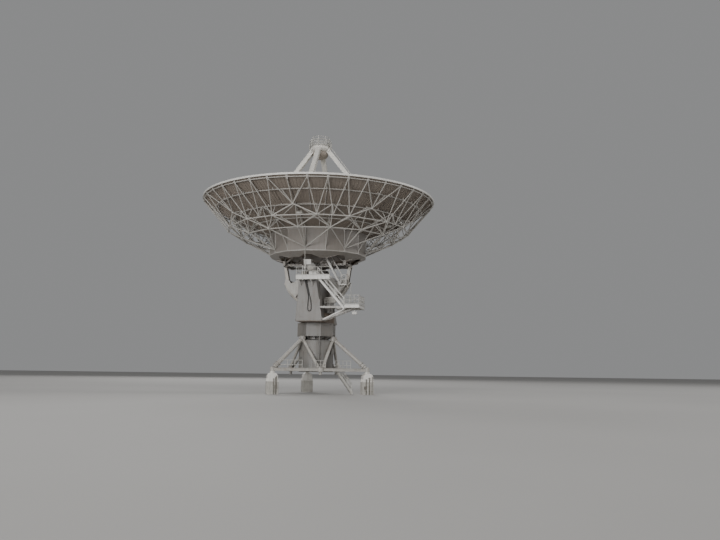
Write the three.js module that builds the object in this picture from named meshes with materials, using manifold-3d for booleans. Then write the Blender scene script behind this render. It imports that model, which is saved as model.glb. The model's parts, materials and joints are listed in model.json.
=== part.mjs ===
// Radio telescope: a 25 m reflector on a yoke mount and a three-legged stand.
// Millimetres, Z up. The origin is at ground level on the vertical turning axis.
// The yoke and the dish are drawn with the tilting axis along Y, then turned to the rest position.
import * as THREE from "three";
import { mergeVertices } from "three/addons/utils/BufferGeometryUtils.js";
import Module from "manifold-3d";

const wasm = await Module();
wasm.setup();

// Driving dimensions
const GAP = 0.3; // clearance between pieces that touch
const TURN = -14.5; // degrees, position of the yoke about the vertical axis at rest
const STAND_TURN = 9.8; // degrees, position of the stand about the same axis
const AXIS_Z = 12900; // height of the tilting axis
const RIM_R = 12500; // reflector radius
const RIM_Z = 20500; // height of the reflector edge
const FOCAL = 9000; // focal length of the reflector
const PANEL_T = 60; // panel thickness
const PANEL_SIDES = 40;
const HOLE_R = 1200; // central hole of the reflector
const RINGS = [HOLE_R, 5200, 9000, RIM_R]; // edges of the three panel bands
const BAND_STEPS = 2; // straight steps across one band

const FOOT_R = 5660; // radius of the three feet
const PIER_W = 1200;
const PIER_H = 1280;
const FOOT_W = 1040;
const FRAME_Z = 2495; // middle of the base frame beams
const FRAME_H = 320;
const FRAME_TOP = FRAME_Z + FRAME_H / 2 + 50; // top of the joint blocks
const FRAME_W = 350;
const JOINT_R = 330; // corner joints of the frame, above the feet
const LEG_R = 190;
const BRACE_R = 150;
const UPPER_R = 1880; // radius of the three upper joints
const HOUSING_Z = 5950; // bottom of the turning-bearing housing
const HOUSING_TOP = 7330;
const HOUSING_R = 1950;
const ROOM_R = 1800;
const ROOM_TOP = 5500;
const DECK_Z = 2450; // top of the base deck

const YOKE_Z = 7450; // underside of the yoke arms
const YOKE_BASE_TOP = 8350;
const ARM_IN = 2100; // inner face of an arm, from the middle
const ARM_OUT = 3400;
const ARM_TOP = 12250;
const ARM_FOOT = [-1400, 1430]; // arm from side to side at its foot
const ARM_HEAD = [-1080, 600]; // and at its head
const SHAFT_R = 280;
const SHAFT_SIDES = 48;
const BORE_R = (SHAFT_R + 0.2) / Math.cos(Math.PI / SHAFT_SIDES); // runs free all round
const BEARING_R = 620;
const DECK_TOP = 11980; // deck of the upper platforms
const LOW_DECK = 8950; // deck of the drive platform
const RAIL = 55; // railing bar
const CABLE_R = 42.5;
const CABLE_LOOP_R = 180; // turn at the bottom of the hanging cable

const GEAR_R = 3870;
const GEAR_IN = 3080;
const GEAR_T = 560;
const GEAR_FROM = 198; // degrees, ends of the toothed arc
const GEAR_TO = 342;
const FRAME_LOW = 13400; // underside of the frame below the hub
const FRAME_UP = 13650;
const HUB_R = 5200;
const HUB_LOW = 14420; // underside of the hub
const FLANGE_R = 5350; // flanges of the hub that the lattice bars end on
const SKIRT_R = 4000; // radius and height of the tips of the plates below the hub
const SKIRT_LOW = 13900;
const HUB_SIDES = 16;

const RIM_NODE = [12300, 20150]; // radius and height of the lattice rings
const STAR = [10100, 18100];
const KNEE = [9750, 17150];
const LOWER = [8200, 16250];
const KNEE_HALF = 9.4; // degrees, half the angle between two paired knees
const BAR = 80;

const APEX_R = 930;
const APEX_LOW = 26250;
const APEX_TOP = 26800;
const TOP_RAIL = 27850;
const LEG_FOOT_R = 7600; // radius at which the four feed legs stand on the panels
const FEED_LEG = [480, 440]; // section of a feed leg
const FEED_R = 1100;
const FEED_TOP = 18500;

const rad = THREE.MathUtils.degToRad;
const vec = (x, y, z) => new THREE.Vector3(x, y, z);
const polar = (deg, r, z) => vec(r * Math.sin(rad(deg)), -r * Math.cos(rad(deg)), z);
const surfaceZ = (r) => RIM_Z - (RIM_R * RIM_R - r * r) / (4 * FOCAL);

// A three.js geometry as a closed manifold-3d solid
function solid(geometry) {
  const g = geometry.index ? geometry.toNonIndexed() : geometry;
  const bare = new THREE.BufferGeometry().setAttribute("position", g.getAttribute("position"));
  const merged = mergeVertices(bare, 1e-3);
  const all = merged.index.array;
  const tri = [];
  for (let i = 0; i < all.length; i += 3) {
    const [a, b, c] = [all[i], all[i + 1], all[i + 2]];
    if (a !== b && b !== c && c !== a) tri.push(a, b, c);
  }
  const make = () =>
    new wasm.Manifold(
      new wasm.Mesh({
        numProp: 3,
        vertProperties: merged.attributes.position.array,
        triVerts: new Uint32Array(tri),
      }),
    );
  const first = make();
  if (first.volume() > 0) return first;
  for (let i = 0; i < tri.length; i += 3) [tri[i + 1], tri[i + 2]] = [tri[i + 2], tri[i + 1]];
  return make();
}

const join = (list) => wasm.Manifold.union(list);

function box(x0, x1, y0, y1, z0, z1) {
  const g = new THREE.BoxGeometry(x1 - x0, y1 - y0, z1 - z0);
  return solid(g.translate((x0 + x1) / 2, (y0 + y1) / 2, (z0 + z1) / 2));
}

// Turns a geometry that lies along Z so that it runs from a to b
function along(geometry, a, b) {
  const z = b.clone().sub(a).normalize();
  const up = Math.abs(z.z) > 0.999 ? vec(0, 1, 0) : vec(0, 0, 1);
  const x = up.clone().cross(z).normalize();
  const y = z.clone().cross(x);
  const m = new THREE.Matrix4().makeBasis(x, y, z);
  m.setPosition(a.clone().add(b).multiplyScalar(0.5));
  return geometry.applyMatrix4(m);
}

function bar(a, b, w, h = w) {
  return solid(along(new THREE.BoxGeometry(w, h, a.distanceTo(b)), a, b));
}

function pipe(a, b, r, sides = 12, r2 = r) {
  const g = new THREE.CylinderGeometry(r2, r, a.distanceTo(b), sides).rotateX(Math.PI / 2);
  return solid(along(g, a, b));
}

const upright = (x, y, z0, z1, r, sides = 12) => pipe(vec(x, y, z0), vec(x, y, z1), r, sides);

// A polygon in the XY plane from z0 to z1
function slab(points, z0, z1) {
  const shape = new THREE.Shape(points.map(([x, y]) => new THREE.Vector2(x, y)));
  return solid(
    new THREE.ExtrudeGeometry(shape, { depth: z1 - z0, bevelEnabled: false }).translate(0, 0, z0),
  );
}

// A polygon in the XZ plane from y0 to y1
function plate(points, y0, y1) {
  const shape = new THREE.Shape(points.map(([x, z]) => new THREE.Vector2(x, z)));
  const g = new THREE.ExtrudeGeometry(shape, { depth: y1 - y0, bevelEnabled: false });
  return solid(g.rotateX(Math.PI / 2).translate(0, y1, 0));
}

// A profile of [radius, height] pairs turned about Z
function turned(points, sides) {
  const loop = [...points, points[0]].map(([r, z]) => new THREE.Vector2(r, z));
  return solid(new THREE.LatheGeometry(loop, sides).rotateX(Math.PI / 2));
}

// Rails and posts along a line of points, at the heights given above the points
function railing(points, heights, spacing = 900) {
  const out = [];
  const top = Math.max(...heights);
  for (let i = 0; i + 1 < points.length; i++) {
    const [a, b] = [points[i], points[i + 1]];
    const n = Math.max(1, Math.round(a.distanceTo(b) / spacing));
    for (let k = i ? 1 : 0; k <= n; k++) {
      const p = a.clone().lerp(b, k / n);
      out.push(box(p.x - RAIL / 2, p.x + RAIL / 2, p.y - RAIL / 2, p.y + RAIL / 2, p.z - 20, p.z + top));
    }
    for (const h of heights) {
      const up = vec(0, 0, h - RAIL / 2);
      out.push(bar(a.clone().add(up), b.clone().add(up), RAIL * 0.8));
    }
  }
  return out;
}

// Stringers, treads and handrails of a flight from a (top) to b (foot), widthways along Y
function flight(a, b, width, treads, railUp) {
  const out = [];
  for (const side of [-1, 1]) {
    const dy = vec(0, (side * width) / 2, 0);
    const [p, q] = [a.clone().add(dy), b.clone().add(dy)];
    out.push(bar(p, q, 60, 200));
    const up = vec(0, 0, railUp);
    out.push(bar(p.clone().add(up), q.clone().add(up), RAIL));
    for (const t of [0.03, 0.97]) {
      const s = p.clone().lerp(q, t);
      out.push(bar(s, s.clone().add(up), RAIL));
    }
  }
  for (let i = 1; i <= treads; i++) {
    const p = a.clone().lerp(b, i / (treads + 1));
    out.push(box(p.x - 120, p.x + 120, p.y - width / 2, p.y + width / 2, p.z - 25, p.z + 15));
  }
  return out;
}

// Stand
const footAt = (i) => [210, 330, 90].map((d) => [FOOT_R * Math.cos(rad(d)), FOOT_R * Math.sin(rad(d))])[i];

function pier(i) {
  const [x, y] = footAt(i);
  const h = PIER_W / 2;
  const c = 70;
  const square = (w) => [
    [x - w + c, y - w], [x + w - c, y - w], [x + w, y - w + c], [x + w, y + w - c],
    [x + w - c, y + w], [x - w + c, y + w], [x - w, y + w - c], [x - w, y - w + c],
  ];
  return slab(square(h), 0, PIER_H - GAP);
}

function foot(i) {
  const [x, y] = footAt(i);
  const h = FOOT_W / 2;
  const gable = [
    [x - h, PIER_H], [x + h, PIER_H], [x + h, 1800], [x + 400, 2030], [x + 200, 2130],
    [x - 200, 2130], [x - 400, 2030], [x - h, 1800],
  ];
  const neck = upright(x, y, 2100, FRAME_Z - FRAME_H / 2 - 60 - GAP, 230, 16);
  const plateLow = box(x - h - 60, x + h + 60, y - h - 60, y + h + 60, PIER_H, PIER_H + 60);
  return join([plate(gable, y - h, y + h), neck, plateLow]);
}

function baseFrame() {
  const out = [];
  for (let i = 0; i < 3; i++) {
    const [ax, ay] = footAt(i);
    const [bx, by] = footAt((i + 1) % 3);
    out.push(bar(vec(ax, ay, FRAME_Z), vec(bx, by, FRAME_Z), FRAME_W, FRAME_H));
    out.push(upright(ax, ay, FRAME_Z - FRAME_H / 2 - 60, FRAME_TOP, JOINT_R, 12));
    const [mx, my] = [(ax + bx) / 2, (ay + by) / 2];
    out.push(upright(mx, my, FRAME_Z - FRAME_H / 2 - 40, FRAME_TOP, 330, 8));
    out.push(upright(mx, my, 1980, FRAME_Z - 100, 130, 8));
  }
  return join(out);
}

// One leg and the two braces that share its upper joint
function supportLeg(i) {
  const deg = [210, 330, 90][i];
  const [cx, cy] = [Math.cos(rad(deg)), Math.sin(rad(deg))];
  const top = vec(UPPER_R * cx, UPPER_R * cy, HOUSING_Z - 220);
  const low = vec((FOOT_R - 260) * cx, (FOOT_R - 260) * cy, FRAME_TOP - 60);
  const out = [pipe(low, top, LEG_R, 8)];
  const flange = (a, b, t, r) => {
    const p = a.clone().lerp(b, t);
    const q = a.clone().lerp(b, t + 90 / a.distanceTo(b));
    out.push(pipe(p, q, r, 8));
  };
  flange(low, top, 0.1, LEG_R + 70);
  flange(low, top, 0.93, LEG_R + 50);
  for (const side of [-60, 60]) {
    const m = [Math.cos(rad(deg + side)) * (FOOT_R / 2), Math.sin(rad(deg + side)) * (FOOT_R / 2)];
    const tangent = [Math.cos(rad(deg + side - 90 * Math.sign(side))), Math.sin(rad(deg + side - 90 * Math.sign(side)))];
    const foot = vec(m[0] + tangent[0] * 200, m[1] + tangent[1] * 200, FRAME_TOP - 60);
    out.push(pipe(foot, top, BRACE_R, 8));
    flange(foot, top, 0.1, BRACE_R + 50);
    flange(foot, top, 0.88, BRACE_R + 45);
  }
  out.push(upright(top.x, top.y, top.z - 250, HOUSING_Z - GAP, 300, 8));
  const below = box(-9000, 9000, -9000, 9000, 0, FRAME_TOP + GAP);
  const roomCut = upright(0, 0, 2000, HOUSING_Z + 10, ROOM_R + 40 + GAP, 24);
  return join(out).subtract(below).subtract(roomCut);
}

function pedestalRoom() {
  const out = [
    turned([[0, 2250], [ROOM_R, 2250], [ROOM_R, ROOM_TOP], [1150, ROOM_TOP + 160], [1150, HOUSING_Z - GAP], [0, HOUSING_Z - GAP]], 24),
  ];
  for (let i = 0; i < 12; i++) {
    const deg = i * 30 + 15;
    const p = polar(deg, 1100, HOUSING_Z - GAP - 150);
    const q = polar(deg, 1700, HOUSING_Z - GAP - 150);
    out.push(bar(p, q, 40, 300));
  }
  return join(out);
}

function housing() {
  const [z0, z1, r] = [HOUSING_Z, HOUSING_TOP, HOUSING_R];
  return turned(
    [[0, z0], [r + 90, z0], [r + 90, z0 + 70], [r, z0 + 70], [r, z1 - 70], [r + 90, z1 - 70], [r + 90, z1], [0, z1]],
    24,
  );
}

function baseDeck() {
  const inner = FOOT_R / 2 - FRAME_W / 2 - GAP;
  const deck = [
    [-inner * Math.sqrt(3) + 260, -inner], [1850, -inner], [1850, -1700], [3900, -1700],
    [260, inner * 2 - 450], [-260, inner * 2 - 450], [-inner * Math.sqrt(3) - 130 + 260, -inner + 220],
  ];
  const hole = upright(0, 0, 2000, 3000, ROOM_R + GAP, 24);
  const low = DECK_Z;
  const posts = [
    ...railing([vec(-3500, -2500, low), vec(-2050, -2500, low)], [500, 1000], 850),
    ...railing([vec(1750, -1650, low), vec(3400, -1650, low)], [500, 1000], 850),
  ];
  const joints = [0, 1, 2].flatMap((i) => {
    const [a, b] = [footAt(i), footAt((i + 1) % 3)];
    const r = 330 + GAP;
    return [
      upright((a[0] + b[0]) / 2, (a[1] + b[1]) / 2, 2000, 3000, r, 8),
      upright(a[0], a[1], 2000, 3000, JOINT_R + GAP, 12),
      bar(vec(...a, FRAME_Z), vec(...b, FRAME_Z), FRAME_W + 2 * GAP, FRAME_H + 200),
    ];
  });
  return join([slab(deck, DECK_Z - 90, DECK_Z), ...posts]).subtract(hole).subtract(join(joints));
}

function groundStair() {
  const top = vec(1790, -2170, DECK_Z - 110);
  const low = vec(3560, -2170, 60);
  const flightParts = flight(top, low, 720, 6, 900);
  const ground = box(0, 6000, -4000, 0, -600, 0);
  const deck = box(0, 1850 + GAP, -4000, 0, 0, 4000);
  return join(flightParts).subtract(ground).subtract(deck);
}

// Yoke
const armShape = (grow) => [
  [ARM_FOOT[0] - grow, YOKE_Z - grow], [ARM_FOOT[1] + grow, YOKE_Z - grow],
  [ARM_HEAD[1] + grow, ARM_TOP + grow], [ARM_HEAD[0] - grow, ARM_TOP + grow],
];
const armSolid = (side, grow) =>
  side < 0 ? plate(armShape(grow), -ARM_OUT - grow, -ARM_IN + grow) : plate(armShape(grow), ARM_IN - grow, ARM_OUT + grow);

function yokeBase() {
  const inner = ARM_IN - GAP;
  return join([
    upright(0, 0, HOUSING_TOP + GAP, YOKE_Z + 50, HOUSING_R - 60, 24),
    box(ARM_FOOT[0] - 40, ARM_FOOT[1] + 40, -ARM_OUT, ARM_OUT, YOKE_Z - 90, YOKE_Z - GAP),
    box(ARM_FOOT[0], ARM_FOOT[1], -inner, inner, YOKE_Z - 90, YOKE_BASE_TOP),
  ]);
}

function bearing(side) {
  const [y0, y1] = side < 0 ? [-3150, -2350] : [2350, 3150];
  const body = [];
  body.push(box(-640, 580, y0, y1, ARM_TOP + GAP, ARM_TOP + 260));
  body.push(pipe(vec(0, y0, AXIS_Z), vec(0, y1, AXIS_Z), BEARING_R, 20));
  const cut = pipe(vec(0, y0 - 50, AXIS_Z), vec(0, y1 + 50, AXIS_Z), BORE_R, SHAFT_SIDES);
  const below = box(-2000, 2000, y0 - 100, y1 + 100, 11000, ARM_TOP + GAP);
  return join(body).subtract(cut).subtract(below);
}

function upperPlatform(side) {
  const [x0, x1, x2] = [-1180, 950, 2380];
  const y = (d) => side * (ARM_OUT + GAP + d);
  const span = (a, b) => [Math.min(y(a), y(b)), Math.max(y(a), y(b))];
  const out = [
    box(x0, x1, ...span(0, 1000), DECK_TOP - 100, DECK_TOP),
    box(x0, x2, ...span(940, 1000), DECK_TOP - 400, DECK_TOP + 20),
    box(x0, x0 + 60, ...span(0, 1000), DECK_TOP - 400, DECK_TOP + 20),
    box(ARM_HEAD[1] - 400, x2, ...span(0, 70), DECK_TOP - 250, DECK_TOP),
  ];
  const rail = [vec(x0 + 40, y(40), DECK_TOP), vec(x0 + 40, y(960), DECK_TOP), vec(x2 - 40, y(960), DECK_TOP)];
  out.push(...railing(rail, [450, 900], 820));
  return join(out);
}

function lowPlatform() {
  const outline = [
    [1000, -3350], [2900, -3350], [2900, -4400], [5450, -4400], [5450, -1400], [2450, -1400],
    [2450, -2000], [1000, -2000],
  ];
  const out = [slab(outline, LOW_DECK - 120, LOW_DECK)];
  const edge = (a, b) => out.push(bar(vec(...a, LOW_DECK - 190), vec(...b, LOW_DECK - 190), 60, 380));
  edge([2930, -4370], [5450, -4370]);
  edge([5420, -4400], [5420, -1400]);
  edge([5450, -1430], [2450, -1430]);
  edge([2930, -3350], [2930, -4400]);
  const z = LOW_DECK;
  const outer = [vec(3950, -4350, z), vec(5400, -4350, z), vec(5400, -1450, z), vec(2600, -1450, z)];
  out.push(...railing(outer, [500, 1000], 1000));
  out.push(...railing([vec(1350, -2040, z), vec(2410, -2040, z)], [500, 1000], 600));
  for (const y of [-3200, -2300]) {
    out.push(bar(vec(1350, y, 7620), vec(3900, y, LOW_DECK - 150), 110, 160));
    out.push(bar(vec(1300, y, 7620), vec(5000, y, LOW_DECK - 150), 90, 120));
  }
  return join(out).subtract(armSolid(-1, GAP));
}

function yokeStair() {
  const top = vec(980, -3900, DECK_TOP - 80);
  const low = vec(3520, -3900, LOW_DECK + 60);
  const parts = flight(top, low, 640, 8, 1000);
  const platform = box(-2000, 950 + GAP, -6000, 0, 11000, 14000);
  const deck = box(0, 8000, -6000, 0, LOW_DECK - 600, LOW_DECK + GAP);
  return join(parts).subtract(platform).subtract(deck);
}

function driveUnit() {
  const r = GEAR_R + 215;
  const [x, z] = [r * Math.cos(rad(293)), AXIS_Z + r * Math.sin(rad(293))];
  return join([
    pipe(vec(x, -620, z), vec(x, 620, z), 185, 16),
    box(x - 200, x + 260, -620, -320, YOKE_BASE_TOP + GAP, z),
    box(x - 200, x + 260, 320, 620, YOKE_BASE_TOP + GAP, z),
    box(x - 260, x + 300, -700, 700, YOKE_BASE_TOP + GAP, YOKE_BASE_TOP + 120),
  ]).subtract(box(ARM_FOOT[1], 3000, -1000, 1000, 8000, YOKE_BASE_TOP + GAP));
}

// A hanging cable: down from the platform, round the turn and back up beside itself
function cableLoop() {
  const y = -ARM_OUT - CABLE_R - 30;
  const top = DECK_TOP - 100 - GAP;
  const [cx, cz] = [75, 8620];
  const down = [[-470, top + 20], [-400, 11400], [-200, 10600], [-58, 10000], [-80, 9400], [-103, 8900]];
  const up = [[253, 8900], [210, 9400], [72, 10000], [-70, 10600], [-272, 11400], [-340, top + 20]];
  const turn = [];
  for (let a = 180; a <= 360; a += 30) {
    turn.push([cx + CABLE_LOOP_R * Math.cos(rad(a)), cz + CABLE_LOOP_R * Math.sin(rad(a))]);
  }
  const path = new THREE.CatmullRomCurve3([...down, ...turn, ...up].map(([x, z]) => vec(x, y, z)));
  const ring = new THREE.Shape();
  ring.absarc(0, 0, CABLE_R, 0, Math.PI * 2, false);
  const g = new THREE.ExtrudeGeometry(ring, { steps: 36, extrudePath: path, curveSegments: 4, bevelEnabled: false });
  return solid(g).subtract(box(-2000, 2000, -6000, 0, top, 14000));
}

// Dish
const shaft = () => pipe(vec(0, -3250, AXIS_Z), vec(0, 3250, AXIS_Z), SHAFT_R, SHAFT_SIDES);
const shaftCut = (grow = GAP) => pipe(vec(0, -4000, AXIS_Z), vec(0, 4000, AXIS_Z), SHAFT_R + grow, SHAFT_SIDES);

function hubFrame() {
  const out = [];
  for (const s of [-1, 1]) {
    const [y0, y1] = s < 0 ? [-1350, -1050] : [1050, 1350];
    out.push(box(-3700, 3700, y0, y1, FRAME_LOW, FRAME_UP));
    out.push(box(-480, 480, y0 - (s < 0 ? 300 : 0), y1 + (s > 0 ? 300 : 0), AXIS_Z - 430, FRAME_UP + 60));
    out.push(box(s * 3550 - 150, s * 3550 + 150, -1350, 1350, FRAME_LOW, FRAME_UP));
    for (const e of [-1, 1]) {
      out.push(bar(vec(e * 350, s * 1200, FRAME_UP - 60), vec(e * 1500, s * 1100, HUB_LOW + 40), 150, 220));
      out.push(bar(vec(e * 3480, s * 1200, FRAME_UP - 100), vec(e * 3480, s * 1200, HUB_LOW + 40), 180, 200));
      const shoe = [s * 1250, s * 1800].sort((a, b) => a - b);
      out.push(box(...[e * 3420, e * 3840].sort((a, b) => a - b), ...shoe, FRAME_LOW, SKIRT_LOW - GAP));
      out.push(bar(vec(e * 3500, s * 1200, FRAME_UP - 100), vec(e * 2300, s * 1300, HUB_LOW + 40), 120, 160));
    }
  }
  const hub = turned([[0, HUB_LOW - GAP], [HUB_R + GAP, HUB_LOW - GAP], [HUB_R + GAP, 16000], [0, 16000]], HUB_SIDES);
  return join(out).subtract(shaftCut()).subtract(hub);
}

function gearSector() {
  const steps = 24;
  const arc = (r, from, to) =>
    Array.from({ length: steps + 1 }, (_, i) => {
      const a = rad(from + ((to - from) * i) / steps);
      return [r * Math.cos(a), AXIS_Z + r * Math.sin(a)];
    });
  const [y0, y1] = [-GEAR_T / 2, GEAR_T / 2];
  const band = plate([...arc(GEAR_R, GEAR_FROM, GEAR_TO), ...arc(GEAR_IN, GEAR_TO, GEAR_FROM)], y0, y1);
  const out = [band, pipe(vec(0, y0, AXIS_Z), vec(0, y1, AXIS_Z), 520, 16)];
  for (const a of [216, 270, 324]) {
    const p = vec(400 * Math.cos(rad(a)), 0, AXIS_Z + 400 * Math.sin(rad(a)));
    const q = vec((GEAR_IN + 100) * Math.cos(rad(a)), 0, AXIS_Z + (GEAR_IN + 100) * Math.sin(rad(a)));
    out.push(bar(p, q, 300, 300));
  }
  for (const s of [-1, 1]) {
    out.push(plate([[s * 3360, FRAME_LOW - GAP], [s * 3660, FRAME_LOW - GAP], [s * 3400, 11600], [s * 3050, 11700]], y0, y1));
  }
  return join(out).subtract(shaftCut());
}

function counterweight(side) {
  const steps = 6;
  const [from, to] = side < 0 ? [206, 233] : [307, 334];
  const arc = (r, a0, a1) =>
    Array.from({ length: steps + 1 }, (_, i) => {
      const a = rad(a0 + ((a1 - a0) * i) / steps);
      return [r * Math.cos(a), AXIS_Z + r * Math.sin(a)];
    });
  const block = plate([...arc(3500, from, to), ...arc(2500, to, from)], -1150, 1150);
  const slot = plate([...arc(4100, from - 4, to + 4), ...arc(GEAR_IN - 30, to + 4, from - 4)], -GEAR_T / 2 - GAP, GEAR_T / 2 + GAP);
  const p = (r, a) => [r * Math.cos(rad(a)), AXIS_Z + r * Math.sin(rad(a))];
  const spoke = side < 0 ? 216 : 324;
  const gear = bar(vec(p(300, spoke)[0], 0, p(300, spoke)[1]), vec(p(3500, spoke)[0], 0, p(3500, spoke)[1]), 300 + 2 * GAP, GEAR_T + 300);
  return block.subtract(slot).subtract(gear.intersect(box(-5000, 5000, -GEAR_T / 2 - GAP, GEAR_T / 2 + GAP, 5000, 15000)));
}

function accessLadder() {
  const top = vec(1130, -1650, HUB_LOW + 100);
  const low = vec(2870, -1650, 11340);
  const parts = flight(top, low, 440, 7, 900);
  parts.push(box(2740, 3500, -1900, -1400, 11280, 11360));
  const up = box(0, 5000, -3000, 0, HUB_LOW - GAP, 16000);
  return join(parts).subtract(up);
}

function hubDrum() {
  const wall = 80;
  const shell = turned(
    [
      [0, HUB_LOW], [HUB_R, HUB_LOW], [HUB_R, 14960], [FLANGE_R, 14960], [FLANGE_R, 15220], [HUB_R, 15220],
      [HUB_R, 16620], [FLANGE_R, 16620], [FLANGE_R, 16880], [HUB_R, 16880], [HUB_R, 17600], [HUB_R - wall, 17600],
      [HUB_R - wall, HUB_LOW + wall], [0, HUB_LOW + wall],
    ],
    HUB_SIDES,
  );
  return shell.subtract(abovePanels());
}

// The ring of plates that lean inwards below the hub, with an arched opening on each side of a plate
function hubSkirt() {
  const top = HUB_LOW - GAP;
  const slope = (top - SKIRT_LOW) / (HUB_R - SKIRT_R);
  const thick = 78;
  const cone = turned([[SKIRT_R, SKIRT_LOW], [HUB_R, top], [HUB_R - thick / slope, top], [SKIRT_R, SKIRT_LOW + thick]], HUB_SIDES);
  const side = [[3700, 20], [4000, 17.6], [4200, 13.4], [4450, 8.6], [4600, 6.4], [4680, 5.2]];
  const rim = [...side.map(([r, a]) => [r, -a]), ...side.reverse()];
  const arches = [];
  for (let k = 0; k < 8; k++) {
    const around = rim.map(([r, a]) => [r * Math.sin(rad(a + 45 * k)), -r * Math.cos(rad(a + 45 * k))]);
    arches.push(slab(around, SKIRT_LOW - 500, HUB_LOW + 500));
  }
  const low = box(-2700, 0, -3900, 3900, 10000, 16000); // room for the upper platforms at full tilt
  return cone.subtract(join(arches)).subtract(low);
}

const bandRadii = (k) =>
  Array.from({ length: BAND_STEPS + 1 }, (_, i) => RINGS[k] + ((RINGS[k + 1] - RINGS[k]) * i) / BAND_STEPS);
const allRadii = () => [...new Set([0, 1, 2].flatMap(bandRadii))];

// The space above the backs of the panels, to trim what reaches up to them
function abovePanels() {
  const low = allRadii().map((r) => [r, surfaceZ(r) - PANEL_T - GAP]);
  const edge = surfaceZ(RIM_R) - PANEL_T - GAP + 300;
  return turned([[0, surfaceZ(0) - PANEL_T], ...low, [14000, edge], [14000, 30000], [0, 30000]], PANEL_SIDES);
}

// The space below the faces of the panels, to trim what stands on them
function belowPanels() {
  const top = allRadii().map((r) => [r, surfaceZ(r) + GAP]).reverse();
  return turned([[0, 10000], [13000, 10000], ...top, [0, surfaceZ(HOLE_R)]], PANEL_SIDES);
}

function panelBand(k) {
  const radii = bandRadii(k);
  radii[0] += k ? GAP / 2 : 0;
  radii[BAND_STEPS] -= k < 2 ? GAP / 2 : 0;
  const face = radii.map((r) => [r, surfaceZ(r)]);
  const back = radii.map((r) => [r, surfaceZ(r) - PANEL_T]).reverse();
  if (k === 2) back[0] = [RIM_R, surfaceZ(RIM_R) - 190];
  if (k === 2) back.splice(1, 0, [RIM_R - 60, surfaceZ(RIM_R - 60) - 190], [RIM_R - 60, surfaceZ(RIM_R - 60) - PANEL_T]);
  return turned([...face, ...back], PANEL_SIDES);
}

// Bars of the lattice behind the panels for the 45 degree part that starts at deg
function latticeBars(deg) {
  const at = (a, [r, z]) => polar(deg + a, r, z);
  const back = (r) => [r, surfaceZ(r) - PANEL_T - 190];
  const rib = back(9300);
  const [k0, k1] = [22.5 - KNEE_HALF, 22.5 + KNEE_HALF];
  const mid = [KNEE[0] * Math.cos(rad(KNEE_HALF)), KNEE[1]];
  const hubLow = [FLANGE_R - 40, 15090];
  const hubTop = [FLANGE_R - 40, 16750];
  const pairs = [
    [at(0, RIM_NODE), at(0, STAR)], [at(9, RIM_NODE), at(0, STAR)], [at(36, RIM_NODE), at(45, STAR)],
    [at(9, RIM_NODE), at(k0, KNEE)], [at(18, RIM_NODE), at(k0, KNEE)],
    [at(18, RIM_NODE), at(22.5, mid)], [at(27, RIM_NODE), at(22.5, mid)],
    [at(27, RIM_NODE), at(k1, KNEE)], [at(36, RIM_NODE), at(k1, KNEE)],
    [at(k0, KNEE), at(k1, KNEE)], [at(k1, KNEE), at(45 + k0, KNEE)],
    [at(0, STAR), at(k0, KNEE)], [at(45, STAR), at(k1, KNEE)],
    [at(0, LOWER), at(22.5, LOWER)], [at(22.5, LOWER), at(45, LOWER)],
    [at(0, LOWER), at(k0, KNEE)], [at(22.5, LOWER), at(k0, KNEE)],
    [at(22.5, LOWER), at(k1, KNEE)], [at(45, LOWER), at(k1, KNEE)],
    [at(0, LOWER), at(0, hubLow)], [at(22.5, LOWER), at(0, hubLow)], [at(22.5, LOWER), at(45, hubLow)],
    [at(0, hubTop), at(0, rib)], [at(22.5, hubTop), at(22.5, rib)],
    [at(0, rib), at(0, STAR)], [at(22.5, rib), at(22.5, mid)],
  ];
  return pairs.map(([a, b]) => pipe(a, b, BAR, 3));
}

let quarterLattice;
function lattice(k) {
  if (!quarterLattice) {
    const bars = [-45, 0, 45, 90].flatMap(latticeBars);
    const [a0, a1] = [4.5, 94.5];
    const far = 20000;
    const corner = (a) => [far * Math.sin(rad(a)), -far * Math.cos(rad(a))];
    const wedge = slab([[0, 0], corner(a0), corner(a0 + 45).map((v) => v * 1.5), corner(a1)], 0, 30000);
    const away = polar(49.5, GAP, 0);
    const hub = turned([[0, 10000], [FLANGE_R + GAP, 10000], [FLANGE_R + GAP, 18000], [0, 18000]], HUB_SIDES);
    quarterLattice = join(bars).asOriginal().simplify(8).intersect(wedge.translate([away.x, away.y, 0])).subtract(hub);
  }
  return quarterLattice.rotate([0, 0, 90 * k]);
}

function feedCone() {
  return turned(
    [[0, HUB_LOW + 80 + GAP], [FEED_R, HUB_LOW + 80 + GAP], [FEED_R, 17700], [900, FEED_TOP], [0, FEED_TOP]],
    20,
  );
}

function feedLeg(k) {
  const low = polar(90 * k, LEG_FOOT_R + 310, surfaceZ(LEG_FOOT_R) - 400);
  const high = polar(90 * k, 690, 26636);
  const leg = bar(low, high, ...FEED_LEG);
  const shoe = pipe(polar(90 * k, LEG_FOOT_R, 16500), polar(90 * k, LEG_FOOT_R, surfaceZ(LEG_FOOT_R) + 160), 380, 12);
  const apex = upright(0, 0, 20000, 30000, APEX_R + 60 + GAP, 16);
  return join([leg, shoe]).subtract(belowPanels()).subtract(apex).subtract(box(-9000, 9000, -9000, 9000, APEX_TOP - GAP, 30000));
}

function apexBarrel() {
  const [z0, z1, r] = [APEX_LOW, APEX_TOP, APEX_R];
  return turned(
    [[0, z0], [r - 180, z0], [r, z0 + 120], [r, z1 - 330], [r + 60, z1 - 330], [r + 60, z1 - GAP], [0, z1 - GAP]],
    16,
  );
}

function subreflector() {
  const z = APEX_LOW - GAP;
  return turned([[0, z - 820], [420, z - 770], [660, z - 650], [790, z - 470], [825, z - 300], [825, z - 90], [700, z], [0, z]], 24);
}

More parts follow.
